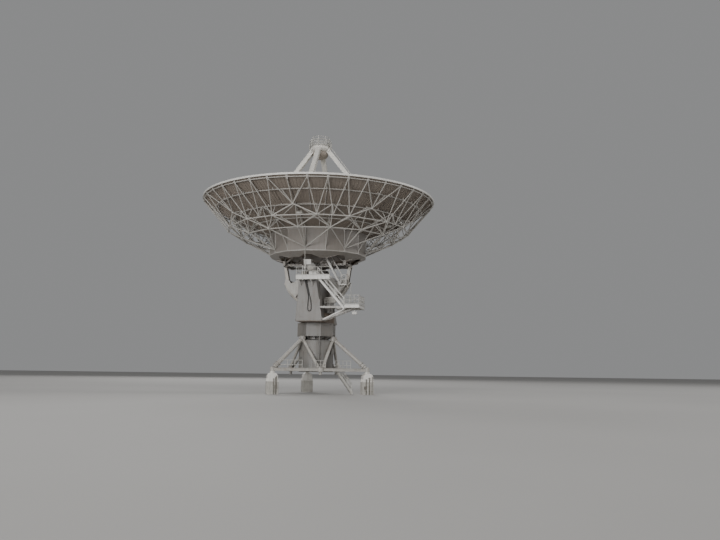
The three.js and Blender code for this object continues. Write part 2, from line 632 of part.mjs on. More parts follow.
function apexRailing() {
  const z = APEX_TOP;
  const n = 8;
  const out = [turned([[0, z], [1010, z], [1010, z + 60], [0, z + 60]], n)];
  for (let i = 0; i < n; i++) {
    const [a, b] = [360 / n * i, 360 / n * (i + 1)];
    const p = polar(a, 950, z + 20);
    out.push(bar(p, polar(a, 950, TOP_RAIL), RAIL));
    for (const h of [z + 550, TOP_RAIL - RAIL / 2]) out.push(bar(polar(a, 950, h), polar(b, 950, h), RAIL * 0.8));
  }
  return join(out);
}

// Assembly
const PAINT = 0xc9c8c2;
const STEEL = 0xa9a7a0;
const CONCRETE = 0x9d978c;
const WHITE = 0xefefec;
const DARK = 0x3a3a3a;
const telescope = new THREE.Group();
telescope.name = "radio_telescope";

function add(name, body, color, turn = 0) {
  const mesh = body.asOriginal().simplify(0.05).rotate([0, 0, turn]).getMesh();
  const g = new THREE.BufferGeometry();
  g.setAttribute("position", new THREE.BufferAttribute(new Float32Array(mesh.vertProperties), 3));
  g.setIndex(new THREE.BufferAttribute(new Uint32Array(mesh.triVerts), 1));
  const flat = g.toNonIndexed();
  flat.computeVertexNormals();
  const piece = new THREE.Mesh(flat, new THREE.MeshStandardMaterial({ color, roughness: 0.7 }));
  piece.name = name;
  telescope.add(piece);
}

const FEET = ["left", "right", "rear"];
FEET.forEach((name, i) => {
  add("pier_" + name, pier(i), CONCRETE, STAND_TURN);
  add("foot_" + name, foot(i), PAINT, STAND_TURN);
  add("support_leg_" + name, supportLeg(i), PAINT, STAND_TURN);
});
add("base_frame", baseFrame(), PAINT, STAND_TURN);
add("base_deck", baseDeck(), STEEL, STAND_TURN);
add("ground_stair", groundStair(), STEEL, STAND_TURN);
add("pedestal_room", pedestalRoom(), PAINT, STAND_TURN);
add("turning_bearing", housing(), PAINT, STAND_TURN);

add("yoke_base", yokeBase(), PAINT, TURN);
add("yoke_arm_near", armSolid(-1, 0), PAINT, TURN);
add("yoke_arm_far", armSolid(1, 0), PAINT, TURN);
add("tilt_bearing_near", bearing(-1), PAINT, TURN);
add("tilt_bearing_far", bearing(1), PAINT, TURN);
add("upper_platform_near", upperPlatform(-1), WHITE, TURN);
add("upper_platform_far", upperPlatform(1), WHITE, TURN);
add("drive_platform", lowPlatform(), STEEL, TURN);
add("yoke_stair", yokeStair(), STEEL, TURN);
add("drive_unit", driveUnit(), STEEL, TURN);
add("cable_loop", cableLoop(), DARK, TURN);

add("tilt_shaft", shaft(), STEEL, TURN);
add("hub_frame", hubFrame(), PAINT, TURN);
add("gear_sector", gearSector(), STEEL, TURN);
add("counterweight_left", counterweight(-1), PAINT, TURN);
add("counterweight_right", counterweight(1), PAINT, TURN);
add("access_ladder", accessLadder(), STEEL, TURN);
add("hub_drum", hubDrum(), PAINT, TURN);
add("hub_skirt", hubSkirt(), PAINT, TURN);
["front", "right", "rear", "left"].forEach((name, k) => add("lattice_" + name, lattice(k), PAINT, TURN));
["inner", "middle", "outer"].forEach((name, k) => add("panels_" + name, panelBand(k), WHITE, TURN));
add("feed_room", feedCone(), WHITE, TURN);
["front", "right", "rear", "left"].forEach((name, k) => add("feed_leg_" + name, feedLeg(k), WHITE, TURN));
add("apex_barrel", apexBarrel(), PAINT, TURN);
add("subreflector", subreflector(), WHITE, TURN);
add("apex_railing", apexRailing(), STEEL, TURN);

export default telescope;
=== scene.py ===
"""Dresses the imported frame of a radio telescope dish. Laid out as an add-on and run as a script."""

import json
import math
import sys

import bmesh
import bpy
from mathutils import Matrix, Vector
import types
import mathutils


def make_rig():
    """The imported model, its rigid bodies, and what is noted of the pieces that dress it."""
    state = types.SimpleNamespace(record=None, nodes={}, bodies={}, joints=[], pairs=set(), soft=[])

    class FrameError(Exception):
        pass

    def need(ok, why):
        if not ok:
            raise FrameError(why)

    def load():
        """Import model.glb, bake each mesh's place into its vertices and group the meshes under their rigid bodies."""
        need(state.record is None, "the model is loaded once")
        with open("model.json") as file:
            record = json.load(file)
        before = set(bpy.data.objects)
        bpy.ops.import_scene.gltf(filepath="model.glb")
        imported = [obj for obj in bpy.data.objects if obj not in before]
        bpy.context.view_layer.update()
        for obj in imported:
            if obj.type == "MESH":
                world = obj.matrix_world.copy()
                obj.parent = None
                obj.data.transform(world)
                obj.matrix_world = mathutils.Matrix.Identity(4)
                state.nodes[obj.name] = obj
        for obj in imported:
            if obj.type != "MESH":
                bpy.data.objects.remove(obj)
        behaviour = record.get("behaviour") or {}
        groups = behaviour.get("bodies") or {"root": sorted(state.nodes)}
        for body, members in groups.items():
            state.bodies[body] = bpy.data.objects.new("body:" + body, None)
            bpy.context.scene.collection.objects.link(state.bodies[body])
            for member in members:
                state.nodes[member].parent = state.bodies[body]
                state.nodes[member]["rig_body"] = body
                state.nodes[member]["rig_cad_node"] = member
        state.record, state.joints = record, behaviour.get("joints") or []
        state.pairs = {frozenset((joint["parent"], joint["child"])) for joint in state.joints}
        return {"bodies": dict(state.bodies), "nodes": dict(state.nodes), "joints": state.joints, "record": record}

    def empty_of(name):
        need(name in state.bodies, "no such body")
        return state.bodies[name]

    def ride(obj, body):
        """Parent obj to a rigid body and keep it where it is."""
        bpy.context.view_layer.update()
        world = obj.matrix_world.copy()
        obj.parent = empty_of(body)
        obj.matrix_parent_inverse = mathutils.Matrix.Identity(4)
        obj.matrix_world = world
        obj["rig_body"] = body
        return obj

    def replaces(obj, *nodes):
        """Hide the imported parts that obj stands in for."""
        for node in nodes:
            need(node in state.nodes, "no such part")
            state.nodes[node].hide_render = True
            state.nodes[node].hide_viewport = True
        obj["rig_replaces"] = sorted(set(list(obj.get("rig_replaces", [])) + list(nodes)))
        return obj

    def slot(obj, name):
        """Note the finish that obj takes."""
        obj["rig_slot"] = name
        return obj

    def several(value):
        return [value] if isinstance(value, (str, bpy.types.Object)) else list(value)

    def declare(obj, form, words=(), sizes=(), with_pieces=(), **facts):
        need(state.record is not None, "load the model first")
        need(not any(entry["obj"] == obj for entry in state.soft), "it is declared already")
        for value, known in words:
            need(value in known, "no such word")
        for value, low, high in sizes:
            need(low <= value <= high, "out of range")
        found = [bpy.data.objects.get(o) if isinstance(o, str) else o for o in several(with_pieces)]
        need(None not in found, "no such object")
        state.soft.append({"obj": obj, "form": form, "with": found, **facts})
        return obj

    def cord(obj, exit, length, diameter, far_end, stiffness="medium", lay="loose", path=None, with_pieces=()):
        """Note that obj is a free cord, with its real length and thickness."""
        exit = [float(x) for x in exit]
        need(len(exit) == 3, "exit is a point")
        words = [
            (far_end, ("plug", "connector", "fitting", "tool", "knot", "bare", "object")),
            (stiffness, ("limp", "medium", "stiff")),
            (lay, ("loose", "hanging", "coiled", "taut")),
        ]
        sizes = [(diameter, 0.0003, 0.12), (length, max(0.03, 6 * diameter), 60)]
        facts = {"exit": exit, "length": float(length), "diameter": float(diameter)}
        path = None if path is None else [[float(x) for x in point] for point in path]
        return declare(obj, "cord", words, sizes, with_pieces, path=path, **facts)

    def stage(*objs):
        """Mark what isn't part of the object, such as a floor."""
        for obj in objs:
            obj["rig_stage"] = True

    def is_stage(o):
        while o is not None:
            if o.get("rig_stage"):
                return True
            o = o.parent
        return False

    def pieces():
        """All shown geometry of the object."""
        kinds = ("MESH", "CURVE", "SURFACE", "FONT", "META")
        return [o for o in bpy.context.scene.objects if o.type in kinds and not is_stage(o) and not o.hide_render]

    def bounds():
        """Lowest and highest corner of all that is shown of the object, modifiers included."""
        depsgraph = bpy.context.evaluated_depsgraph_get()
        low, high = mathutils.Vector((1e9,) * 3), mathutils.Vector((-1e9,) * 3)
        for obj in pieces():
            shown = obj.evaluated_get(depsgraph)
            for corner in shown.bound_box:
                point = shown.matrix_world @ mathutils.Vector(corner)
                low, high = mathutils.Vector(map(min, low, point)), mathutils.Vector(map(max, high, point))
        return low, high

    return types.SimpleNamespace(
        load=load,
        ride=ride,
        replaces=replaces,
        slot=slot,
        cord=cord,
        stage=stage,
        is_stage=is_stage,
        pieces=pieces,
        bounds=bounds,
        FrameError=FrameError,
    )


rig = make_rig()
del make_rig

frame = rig.load()
CAD_BOX = [list(corner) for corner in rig.bounds()]

bl_info = {
    "name": "Radio telescope dish",
    "version": (1, 0, 0),
    "blender": (4, 5, 0),
    "location": "View3D > Sidebar > Telescope",
    "description": "Builds the dish, its yoke and its stand round the packed frame",
    "category": "Object",
}

# Sizes that the frame shares with the part's source, in metres
AXIS = Vector([j for j in frame["joints"] if j["name"] == "tilting"][0]["axis"])
TURN = Matrix.Rotation(math.atan2(-AXIS.x, AXIS.y), 4, "Z")
STAND_TURN = Matrix.Rotation(math.radians(9.8), 4, "Z")
AXIS_Z = 12.9
RIM_R = 12.5
RIM_Z = 20.5
FOCAL = 9.0
FOOT_R = 5.66
PIER = (0.595, 1.28)
JOINT_R = 0.24
FRAME_Z = 2.495
FRAME_H = 0.32
FRAME_W = 0.35
FRAME_TOP = FRAME_Z + FRAME_H / 2 + 0.05
UPPER_R = 1.88
HOUSING = (5.95, 7.33, 1.95)
ROOM_R = 1.8
ROOM_TOP = 5.5
DECK_Z = 2.45
YOKE_Z = 7.45
YOKE_BASE_TOP = 8.35
ARM_IN = 2.1
ARM_OUT = 3.4
ARM_TOP = 12.25
ARM_FOOT = (-1.4, 1.43)
ARM_HEAD = (-1.08, 0.6)
DECK_TOP = 11.98
LOW_DECK = 8.95
GEAR_R = 3.87
GEAR_IN = 3.08
GEAR_T = 0.56
GEAR_ARC = (198, 342)
FRAME_LOW = 13.4
FRAME_UP = 13.65
HUB_R = 5.2
HUB_LOW = 14.42
HUB_TOP = 16.82
SKIRT_R = 4.0
SKIRT_LOW = 13.9
RIM_NODE = (12.3, 20.15)
STAR = (10.1, 18.1)
KNEE = (9.75, 17.15)
LOWER = (8.2, 16.25)
KNEE_HALF = 9.4
APEX_R = 0.93
APEX_LOW = 26.25
APEX_TOP = 26.8
TOP_RAIL = 27.85
LEG_FOOT_R = 7.6
CABLE_R = 0.0425
CABLE_LOOP_R = 0.18
FEET = {"left": 210, "right": 330, "rear": 90}
QUARTERS = ("front", "right", "rear", "left")
ARM_BANDS = (8.62, 10.05, 11.4)
PANEL_RINGS = (1.2, 3.2, 5.2, 7.1, 9.0, 10.8, 12.465)
PANEL_COUNTS = (12, 16, 24, 40, 40, 40)
PANEL_SKIN = 0.014

# The camera: its place in metres, its angles in degrees and its lens in millimetres
CAMERA_AT = (0, -76.5, 2.4)
CAMERA_PITCH, CAMERA_PAN, CAMERA_ROLL = 8.05, 3.4, 0.76
CAMERA_SENSOR, CAMERA_LENS, CAMERA_FAR = 36.0, 35.75, 1000
# Soft lights: place, the point that each faces, width, and power as a share of the key light setting
LIGHTS = {
    "key": ((-66, -146, 25), (0, 0, 11), 80, 4),
    "fill": ((-6, -50, 58), (0, 0, 12), 30, 0.34),
    "back": ((-25, 120, 80), (0, 0, 14), 60, 1.5),
    "side": ((135, 10, 60), (0, 0, 12), 60, 1.3),
}
FLOOR_HALF = 400
SKY_STRENGTH = 0.3


def cos_deg(angle):
    return math.cos(math.radians(angle))


def sin_deg(angle):
    return math.sin(math.radians(angle))


def rise(z):
    """A step straight up."""
    return Vector((0, 0, z))


def polar(deg, r, z):
    """A point at an angle from -Y towards +X."""
    return Vector((r * sin_deg(deg), -r * cos_deg(deg), z))


def surface_z(r):
    return RIM_Z - (RIM_R**2 - r * r) / (4 * FOCAL)


# Mesh code
class Shape:
    """Collects vertices and faces in metres and makes them a piece that rides on a body."""

    def __init__(self):
        self.verts, self.faces = [], []

    def add(self, verts, faces):
        start = len(self.verts)
        self.verts += [Vector(v) for v in verts]
        self.faces += [[start + i for i in f] for f in faces]
        return self

    def loft(self, *rings):
        """A closed shell through rings with equal numbers of points."""
        n = len(rings[0])
        faces = [list(range(n))[::-1], list(range((len(rings) - 1) * n, len(rings) * n))]
        for low in range(0, (len(rings) - 1) * n, n):
            faces += [(low + i, low + (i + 1) % n, low + n + (i + 1) % n, low + n + i) for i in range(n)]
        return self.add([p for ring in rings for p in ring], faces)

    def bar(self, a, b, w, h=None, up=(0, 0, 1)):
        """A straight bar from a to b; w lies level, h stands."""
        a, b = Vector(a), Vector(b)
        z = (b - a).normalized()
        up = Vector((0, 1, 0)) if abs(z.dot(Vector(up))) > 0.999 else Vector(up)
        x = up.cross(z).normalized() * w / 2
        y = z.cross(x).normalized() * (w if h is None else h) / 2
        ring = [-x - y, x - y, x + y, -x + y]
        return self.loft([a + p for p in ring], [b + p for p in ring])

    def box(self, x0, x1, y0, y1, z0, z1):
        mid = ((y0 + y1) / 2, (z0 + z1) / 2)
        return self.bar((x0, *mid), (x1, *mid), abs(y1 - y0), abs(z1 - z0))

    def tube(self, a, b, r, sides=12):
        a, b = Vector(a), Vector(b)
        z = (b - a).normalized()
        x = (Vector((0, 1, 0)) if abs(z.z) > 0.999 else rise(1)).cross(z).normalized()
        y = z.cross(x)
        turns = [2 * math.pi * i / sides for i in range(sides)]
        ring = [(x * math.cos(t) + y * math.sin(t)) * r for t in turns]
        return self.loft([a + p for p in ring], [b + p for p in ring])

    def prism(self, outline, lo, hi, flat="z"):
        """A polygon between two levels; flat is the axis that it is square to."""
        n = len(outline)
        at = {"z": lambda p, t: (p[0], p[1], t), "y": lambda p, t: (p[0], t, p[1])}[flat]
        area = sum(outline[i][0] * outline[i - 1][1] - outline[i - 1][0] * outline[i][1] for i in range(n))
        ring = outline if (area < 0) == (flat == "z") else outline[::-1]
        return self.loft([at(p, lo) for p in ring], [at(p, hi) for p in ring])

    def lathe(self, profile, sides=48, start=0.0, centre=(0, 0, 0), axis="z"):
        """A closed profile of (radius, height) turned about an axis; poles may lie on it."""
        verts, rings = [], []
        for r, z in profile:
            if r < 1e-6:
                rings.append([len(verts)])
                verts.append((0, 0, z))
                continue
            rings.append(list(range(len(verts), len(verts) + sides)))
            verts += [tuple(polar(start + 360 * i / sides, r, z)) for i in range(sides)]
        faces = []
        for k, low in enumerate(rings):
            high = rings[(k + 1) % len(rings)]
            for i in range(sides):
                j = (i + 1) % sides
                quad = [low[i % len(low)], low[j % len(low)], high[j % len(high)], high[i % len(high)]]
                quad = [v for n, v in enumerate(quad) if v not in quad[:n]]
                if len(quad) > 2:
                    faces.append(quad)
        if axis == "y":
            verts = [(v[0], v[2], -v[1]) for v in verts]
        return self.add([Vector(v) + Vector(centre) for v in verts], faces)

    def railing(self, points, heights=(0.5, 1.0), spacing=0.9, r=0.03, board=0.1):
        """Posts, rails and a toe board along a line of points."""
        points = [Vector(p) for p in points]
        for i, (a, b) in enumerate(zip(points, points[1:])):
            n = max(1, round((b - a).length / spacing))
            for k in range(1 if i else 0, n + 1):
                p = a.lerp(b, k / n)
                self.tube(p, p + rise(max(heights)), r, 8)
            for h in heights:
                self.tube(a + rise(h), b + rise(h), r, 8)
            if board:
                lift = rise(board / 2 + 0.01)
                self.bar(a + lift, b + lift, 0.008, board)
        return self

    def mesh(self, name):
        mesh = bpy.data.meshes.new(name)
        mesh.from_pydata([tuple(v) for v in self.verts], [], self.faces)
        mesh.validate()
        mesh.update()
        return mesh


def outward(mesh):
    """Turns the faces of closed shells outwards."""
    bm = bmesh.new()
    bm.from_mesh(mesh)
    bmesh.ops.remove_doubles(bm, verts=bm.verts, dist=1e-5)
    bmesh.ops.recalc_face_normals(bm, faces=bm.faces)
    bm.to_mesh(mesh)
    bm.free()
    return mesh


def piece(name, mesh, material, body, slot, replaces=(), smooth=35):
    """Puts a finished mesh in the scene as one piece of the telescope."""
    mesh.name = name
    mesh.transform(STAND_TURN if body == "stand" else TURN)
    mesh.materials.clear()
    mesh.materials.append(material)
    for polygon in mesh.polygons:
        polygon.material_index = 0
    if smooth:
        mesh.shade_smooth()
        mesh.set_sharp_from_angle(angle=math.radians(smooth))
    obj = bpy.data.objects.new(name, mesh)
    bpy.context.scene.collection.objects.link(obj)
    if replaces:
        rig.replaces(obj, *replaces)
    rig.slot(obj, slot)
    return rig.ride(obj, body)


def merged(*meshes):
    """Several meshes as one."""
    bm = bmesh.new()
    for mesh in meshes:
        bm.from_mesh(mesh)
    out = bpy.data.meshes.new("merged")
    bm.to_mesh(out)
    bm.free()
    return out


# Node trees
class Wiring:
    """Adds nodes to a tree, with each input given as a value or as the socket that feeds it."""

    def __init__(self, tree):
        self.tree = tree

    def node(self, kind, inputs=None, **settings):
        made = self.tree.nodes.new(kind)
        for key, value in settings.items():
            setattr(made, key, value)
        for key, value in (inputs or {}).items():
            if isinstance(value, bpy.types.NodeSocket):
                self.tree.links.new(value, made.inputs[key])
            else:
                made.inputs[key].default_value = value
        return made

    def math(self, operation, a, b=0.0, c=0.0):
        return self.node("ShaderNodeMath", {0: a, 1: b, 2: c}, operation=operation).outputs[0]

    def mix(self, factor, a, b, blend="MIX"):
        made = self.node("ShaderNodeMix", data_type="RGBA", blend_type=blend)
        for socket, value in ((made.inputs[0], factor), (made.inputs[6], a), (made.inputs[7], b)):
            if isinstance(value, bpy.types.NodeSocket):
                self.tree.links.new(value, socket)
            else:
                socket.default_value = value
        return made.outputs[2]

    def noise(self, vector, scale, detail=4.0, rough=0.5):
        values = {"Vector": vector, "Scale": scale, "Detail": detail, "Roughness": rough}
        return self.node("ShaderNodeTexNoise", values).outputs["Fac"]

    def between(self, value, low, high, to_low=0.0, to_high=1.0):
        values = {"Value": value, 1: low, 2: high, 3: to_low, 4: to_high}
        return self.node("ShaderNodeMapRange", values).outputs[0]


def new_tree(name, kind, inputs, outputs):
    """An empty node group with named sockets."""
    tree = bpy.data.node_groups.new(name, kind)
    for label, socket, default in inputs:
        item = tree.interface.new_socket(name=label, in_out="INPUT", socket_type=socket)
        if default is not None:
            item.default_value = default
    for label, socket in outputs:
        tree.interface.new_socket(name=label, in_out="OUTPUT", socket_type=socket)
    return tree, Wiring(tree), tree.nodes.new("NodeGroupInput"), tree.nodes.new("NodeGroupOutput")


GEOMETRY_IN = ("Geometry", "NodeSocketGeometry", None)
MATERIAL_IN = ("Material", "NodeSocketMaterial", None)
GEOMETRY_OUT = [("Geometry", "NodeSocketGeometry")]


def finish_tree(tree, w, source, geometry, sink):
    """Realises the copies and gives them their material."""
    real = w.node("GeometryNodeRealizeInstances", {0: geometry})
    dressed = w.node("GeometryNodeSetMaterial", {0: real.outputs[0], "Material": source.outputs["Material"]})
    tree.links.new(dressed.outputs[0], sink.inputs[0])
    return tree


def bars_tree():
    """Round bars along the edges of a mesh."""
    sizes = [("Radius", "NodeSocketFloat", 0.05), ("Sides", "NodeSocketInt", 8)]
    tree, w, source, sink = new_tree(
        "Bars on lines", "GeometryNodeTree", [GEOMETRY_IN, *sizes, MATERIAL_IN], GEOMETRY_OUT
    )
    curve = w.node("GeometryNodeMeshToCurve", {0: source.outputs["Geometry"]})
    values = {"Resolution": source.outputs["Sides"], "Radius": source.outputs["Radius"]}
    ring = w.node("GeometryNodeCurvePrimitiveCircle", values)
    values = {"Curve": curve.outputs[0], "Profile Curve": ring.outputs[0], "Fill Caps": True}
    tube = w.node("GeometryNodeCurveToMesh", values)
    return finish_tree(tree, w, source, tube.outputs[0], sink)


def ring_tree():
    """Equal copies of a shape turned about Z."""
    sizes = [("Count", "NodeSocketInt", 8), ("Start", "NodeSocketFloat", 0.0)]
    tree, w, source, sink = new_tree(
        "Copies in a ring", "GeometryNodeTree", [GEOMETRY_IN, *sizes, MATERIAL_IN], GEOMETRY_OUT
    )
    line = w.node("GeometryNodeMeshLine", {"Count": source.outputs["Count"], "Offset": (0, 0, 0)})
    index = w.node("GeometryNodeInputIndex").outputs[0]
    step = w.math("DIVIDE", 2 * math.pi, source.outputs["Count"])
    turn = w.math("MULTIPLY_ADD", index, step, source.outputs["Start"])
    euler = w.node("ShaderNodeCombineXYZ", {"Z": turn})
    rotation = w.node("FunctionNodeEulerToRotation", {0: euler.outputs[0]})
    values = {"Points": line.outputs[0], "Instance": source.outputs["Geometry"], "Rotation": rotation.outputs[0]}
    copies = w.node("GeometryNodeInstanceOnPoints", values)
    return finish_tree(tree, w, source, copies.outputs[0], sink)


def row_tree():
    """Equal copies of a shape in a straight row."""
    sizes = [("Count", "NodeSocketInt", 8), ("Step", "NodeSocketVector", (1, 0, 0))]
    tree, w, source, sink = new_tree(
        "Copies in a row", "GeometryNodeTree", [GEOMETRY_IN, *sizes, MATERIAL_IN], GEOMETRY_OUT
    )
    values = {"Count": source.outputs["Count"], "Offset": source.outputs["Step"]}
    line = w.node("GeometryNodeMeshLine", values)
    copies = w.node("GeometryNodeInstanceOnPoints", {"Points": line.outputs[0], "Instance": source.outputs["Geometry"]})
    return finish_tree(tree, w, source, copies.outputs[0], sink)


def scatter_tree():
    """Copies of a shape on the points of a mesh, each turned by the attribute named turn."""
    sizes = [("Shape", "NodeSocketObject", None), ("Size", "NodeSocketFloat", 1.0)]
    tree, w, source, sink = new_tree(
        "Copies on points", "GeometryNodeTree", [GEOMETRY_IN, *sizes, MATERIAL_IN], GEOMETRY_OUT
    )
    shape = w.node("GeometryNodeObjectInfo", {"Object": source.outputs["Shape"]})
    turn = w.node("GeometryNodeInputNamedAttribute", {"Name": "turn"}, data_type="FLOAT_VECTOR")
    rotation = w.node("FunctionNodeEulerToRotation", {0: turn.outputs["Attribute"]})
    size = w.node("ShaderNodeCombineXYZ", {k: source.outputs["Size"] for k in "XYZ"})
    values = {
        "Points": source.outputs["Geometry"],
        "Instance": shape.outputs["Geometry"],
        "Rotation": rotation.outputs[0],
        "Scale": size.outputs[0],
    }
    copies = w.node("GeometryNodeInstanceOnPoints", values)
    return finish_tree(tree, w, source, copies.outputs[0], sink)


TREES = {}


def grown(kind, mesh, material, **values):
    """The plain mesh that a geometry tree makes of a mesh."""
    makers = {"bars": bars_tree, "ring": ring_tree, "row": row_tree, "scatter": scatter_tree}
    if kind not in TREES:
        TREES[kind] = makers[kind]()
    host = bpy.data.objects.new("host", mesh)
    bpy.context.scene.collection.objects.link(host)
    modifier = host.modifiers.new("Grow", "NODES")
    modifier.node_group = TREES[kind]
    sockets = {s.name: s.identifier for s in TREES[kind].interface.items_tree if s.in_out == "INPUT"}
    for key, value in {**values, "Material": material}.items():
        modifier[sockets[key]] = value
    bpy.context.view_layer.update()
    graph = bpy.context.evaluated_depsgraph_get()
    out = bpy.data.meshes.new_from_object(host.evaluated_get(graph), depsgraph=graph)
    host.modifiers.remove(modifier)
    bpy.data.objects.remove(host)
    return out


def lines(pairs):
    """A mesh of loose edges, one for each pair of points."""
    mesh = bpy.data.meshes.new("lines")
    points = [tuple(p) for pair in pairs for p in pair]
    mesh.from_pydata(points, [(i, i + 1) for i in range(0, len(points), 2)], [])
    return mesh


def round_bars(pairs, radius, material):
    """Round bars between pairs of points."""
    return outward(grown("bars", lines(pairs), material, Radius=radius, Sides=8))


BOLT = {}


def bolts(spots, size, material):
    """Bolt heads on washers; each spot is a point and the way that it faces."""
    if not BOLT:
        shape = Shape().tube((0, 0, 0), (0, 0, 0.25), 1.0, 12).tube((0, 0, 0.2), (0, 0, 0.85), 0.75, 6)
        BOLT["mesh"] = shape.tube((0, 0, 0.8), (0, 0, 1.1), 0.35, 6).mesh("bolt")
    head = bpy.data.objects.new("bolt_shape", BOLT["mesh"])
    bpy.context.scene.collection.objects.link(head)
    mesh = bpy.data.meshes.new("spots")
    mesh.from_pydata([tuple(p) for p, _ in spots], [], [])
    turn = mesh.attributes.new("turn", "FLOAT_VECTOR", "POINT")
    for i, (_, facing) in enumerate(spots):
        turn.data[i].vector = Vector(facing).to_track_quat("Z", "Y").to_euler()
    out = grown("scatter", mesh, material, Shape=head, Size=size)
    bpy.data.objects.remove(head)
    return out


def bolt_circle(centre, facing, radius, count):
    """Spots round a circle that faces one way."""
    centre, facing = Vector(centre), Vector(facing).normalized()
    side = facing.orthogonal().normalized()
    other = facing.cross(side)
    angles = [2 * math.pi * i / count for i in range(count)]
    return [(centre + (side * math.cos(a) + other * math.sin(a)) * radius, facing) for a in angles]


# Materials
def colour(code):
    """A linear colour from a written one."""
    channels = [int(code[i : i + 2], 16) / 255 for i in (0, 2, 4)]
    return (*[c / 12.92 if c <= 0.04045 else ((c + 0.055) / 1.055) ** 2.4 for c in channels], 1.0)


def weathering_group():
    """Broad tone, rain streaks, grime and rust specks on a painted surface, in metres."""
    inputs = [
        ("Paint", "NodeSocketColor", colour("b8b5ae")),
        ("Grime", "NodeSocketColor", colour("6f685d")),
        ("Rust", "NodeSocketColor", colour("7a4a2c")),
        ("Grime Amount", "NodeSocketFloat", 0.3),
        ("Streaks", "NodeSocketFloat", 0.3),
        ("Rust Amount", "NodeSocketFloat", 0.1),
        ("Scale", "NodeSocketFloat", 1.0),
    ]
    outputs = [("Color", "NodeSocketColor"), ("Roughness", "NodeSocketFloat"), ("Height", "NodeSocketFloat")]
    tree, w, source, sink = new_tree("Weathering", "ShaderNodeTree", inputs, outputs)
    place = w.node("ShaderNodeTexCoord").outputs["Object"]
    spot = w.node("ShaderNodeVectorMath", {0: place, 3: source.outputs["Scale"]}, operation="SCALE").outputs[0]
    drawn = w.node("ShaderNodeMapping", {"Vector": spot, "Scale": (5.0, 5.0, 0.45)}).outputs[0]
    broad = w.noise(spot, 0.45, 4.0, 0.55)
    streak = w.between(w.noise(drawn, 1.0, 6.0, 0.7), 0.46, 0.7)
    speck = w.noise(spot, 7.0, 8.0, 0.72)
    patch = w.between(w.noise(spot, 1.7, 5.0, 0.6), 0.5, 0.68)
    grain = w.noise(spot, 55.0, 3.0, 0.6)
    tone = w.between(broad, 0.3, 0.7, 0.9, 1.05)
    shade = w.node("ShaderNodeCombineColor", {0: tone, 1: tone, 2: tone}).outputs[0]
    paint = w.mix(1.0, source.outputs["Paint"], shade, "MULTIPLY")
    dirt = w.math("MULTIPLY", w.between(broad, 0.42, 0.75), source.outputs["Grime Amount"])
    rain = w.math("MULTIPLY", streak, source.outputs["Streaks"])
    dirty = w.math("MINIMUM", w.math("ADD", dirt, rain), 0.9)
    grimy = w.mix(dirty, paint, source.outputs["Grime"])
    edge = w.math("MULTIPLY", patch, w.between(speck, 0.5, 0.62))
    rust = w.math("MULTIPLY", edge, source.outputs["Rust Amount"])
    rusty = w.mix(rust, grimy, source.outputs["Rust"])
    rough = w.math("ADD", w.math("MULTIPLY_ADD", dirty, 0.3, 0.42), w.math("MULTIPLY", rust, 0.3))
    height = w.math("ADD", w.math("MULTIPLY", grain, 0.5), w.math("MULTIPLY", speck, 0.5))
    for socket, value in (("Color", rusty), ("Roughness", rough), ("Height", height)):
        tree.links.new(value, sink.inputs[socket])
    return tree


def concrete_group():
    """Cast concrete with pores, pour lines and stains."""
    inputs = [("Base", "NodeSocketColor", colour("b3b0a9")), ("Stain", "NodeSocketColor", colour("75716a"))]
    outputs = [("Color", "NodeSocketColor"), ("Roughness", "NodeSocketFloat"), ("Height", "NodeSocketFloat")]
    tree, w, source, sink = new_tree("Cast concrete", "ShaderNodeTree", inputs, outputs)
    place = w.node("ShaderNodeTexCoord").outputs["Object"]
    drawn = w.node("ShaderNodeMapping", {"Vector": place, "Scale": (4.0, 4.0, 0.6)}).outputs[0]
    cloud = w.noise(place, 1.6, 8.0, 0.65)
    stain = w.between(w.noise(drawn, 1.2, 6.0, 0.7), 0.48, 0.72, 0.0, 0.6)
    pore_values = {"Vector": place, "Scale": 26.0}
    pore = w.between(w.node("ShaderNodeTexVoronoi", pore_values).outputs["Distance"], 0.05, 0.22)
    grain = w.noise(place, 90.0, 4.0, 0.7)
    tone = w.between(cloud, 0.3, 0.7, 0.82, 1.1)
    shade = w.node("ShaderNodeCombineColor", {0: tone, 1: tone, 2: tone}).outputs[0]
    base = w.mix(1.0, source.outputs["Base"], shade, "MULTIPLY")
    stained = w.mix(stain, base, source.outputs["Stain"])
    pitted = w.mix(w.between(pore, 0.0, 1.0, 0.45, 0.0), stained, source.outputs["Stain"])
    height = w.math("ADD", w.math("MULTIPLY", pore, 0.6), w.math("MULTIPLY", grain, 0.25))
    rough = w.between(cloud, 0.3, 0.7, 0.82, 0.95)
    for socket, value in (("Color", pitted), ("Roughness", rough), ("Height", height)):
        tree.links.new(value, sink.inputs[socket])
    return tree


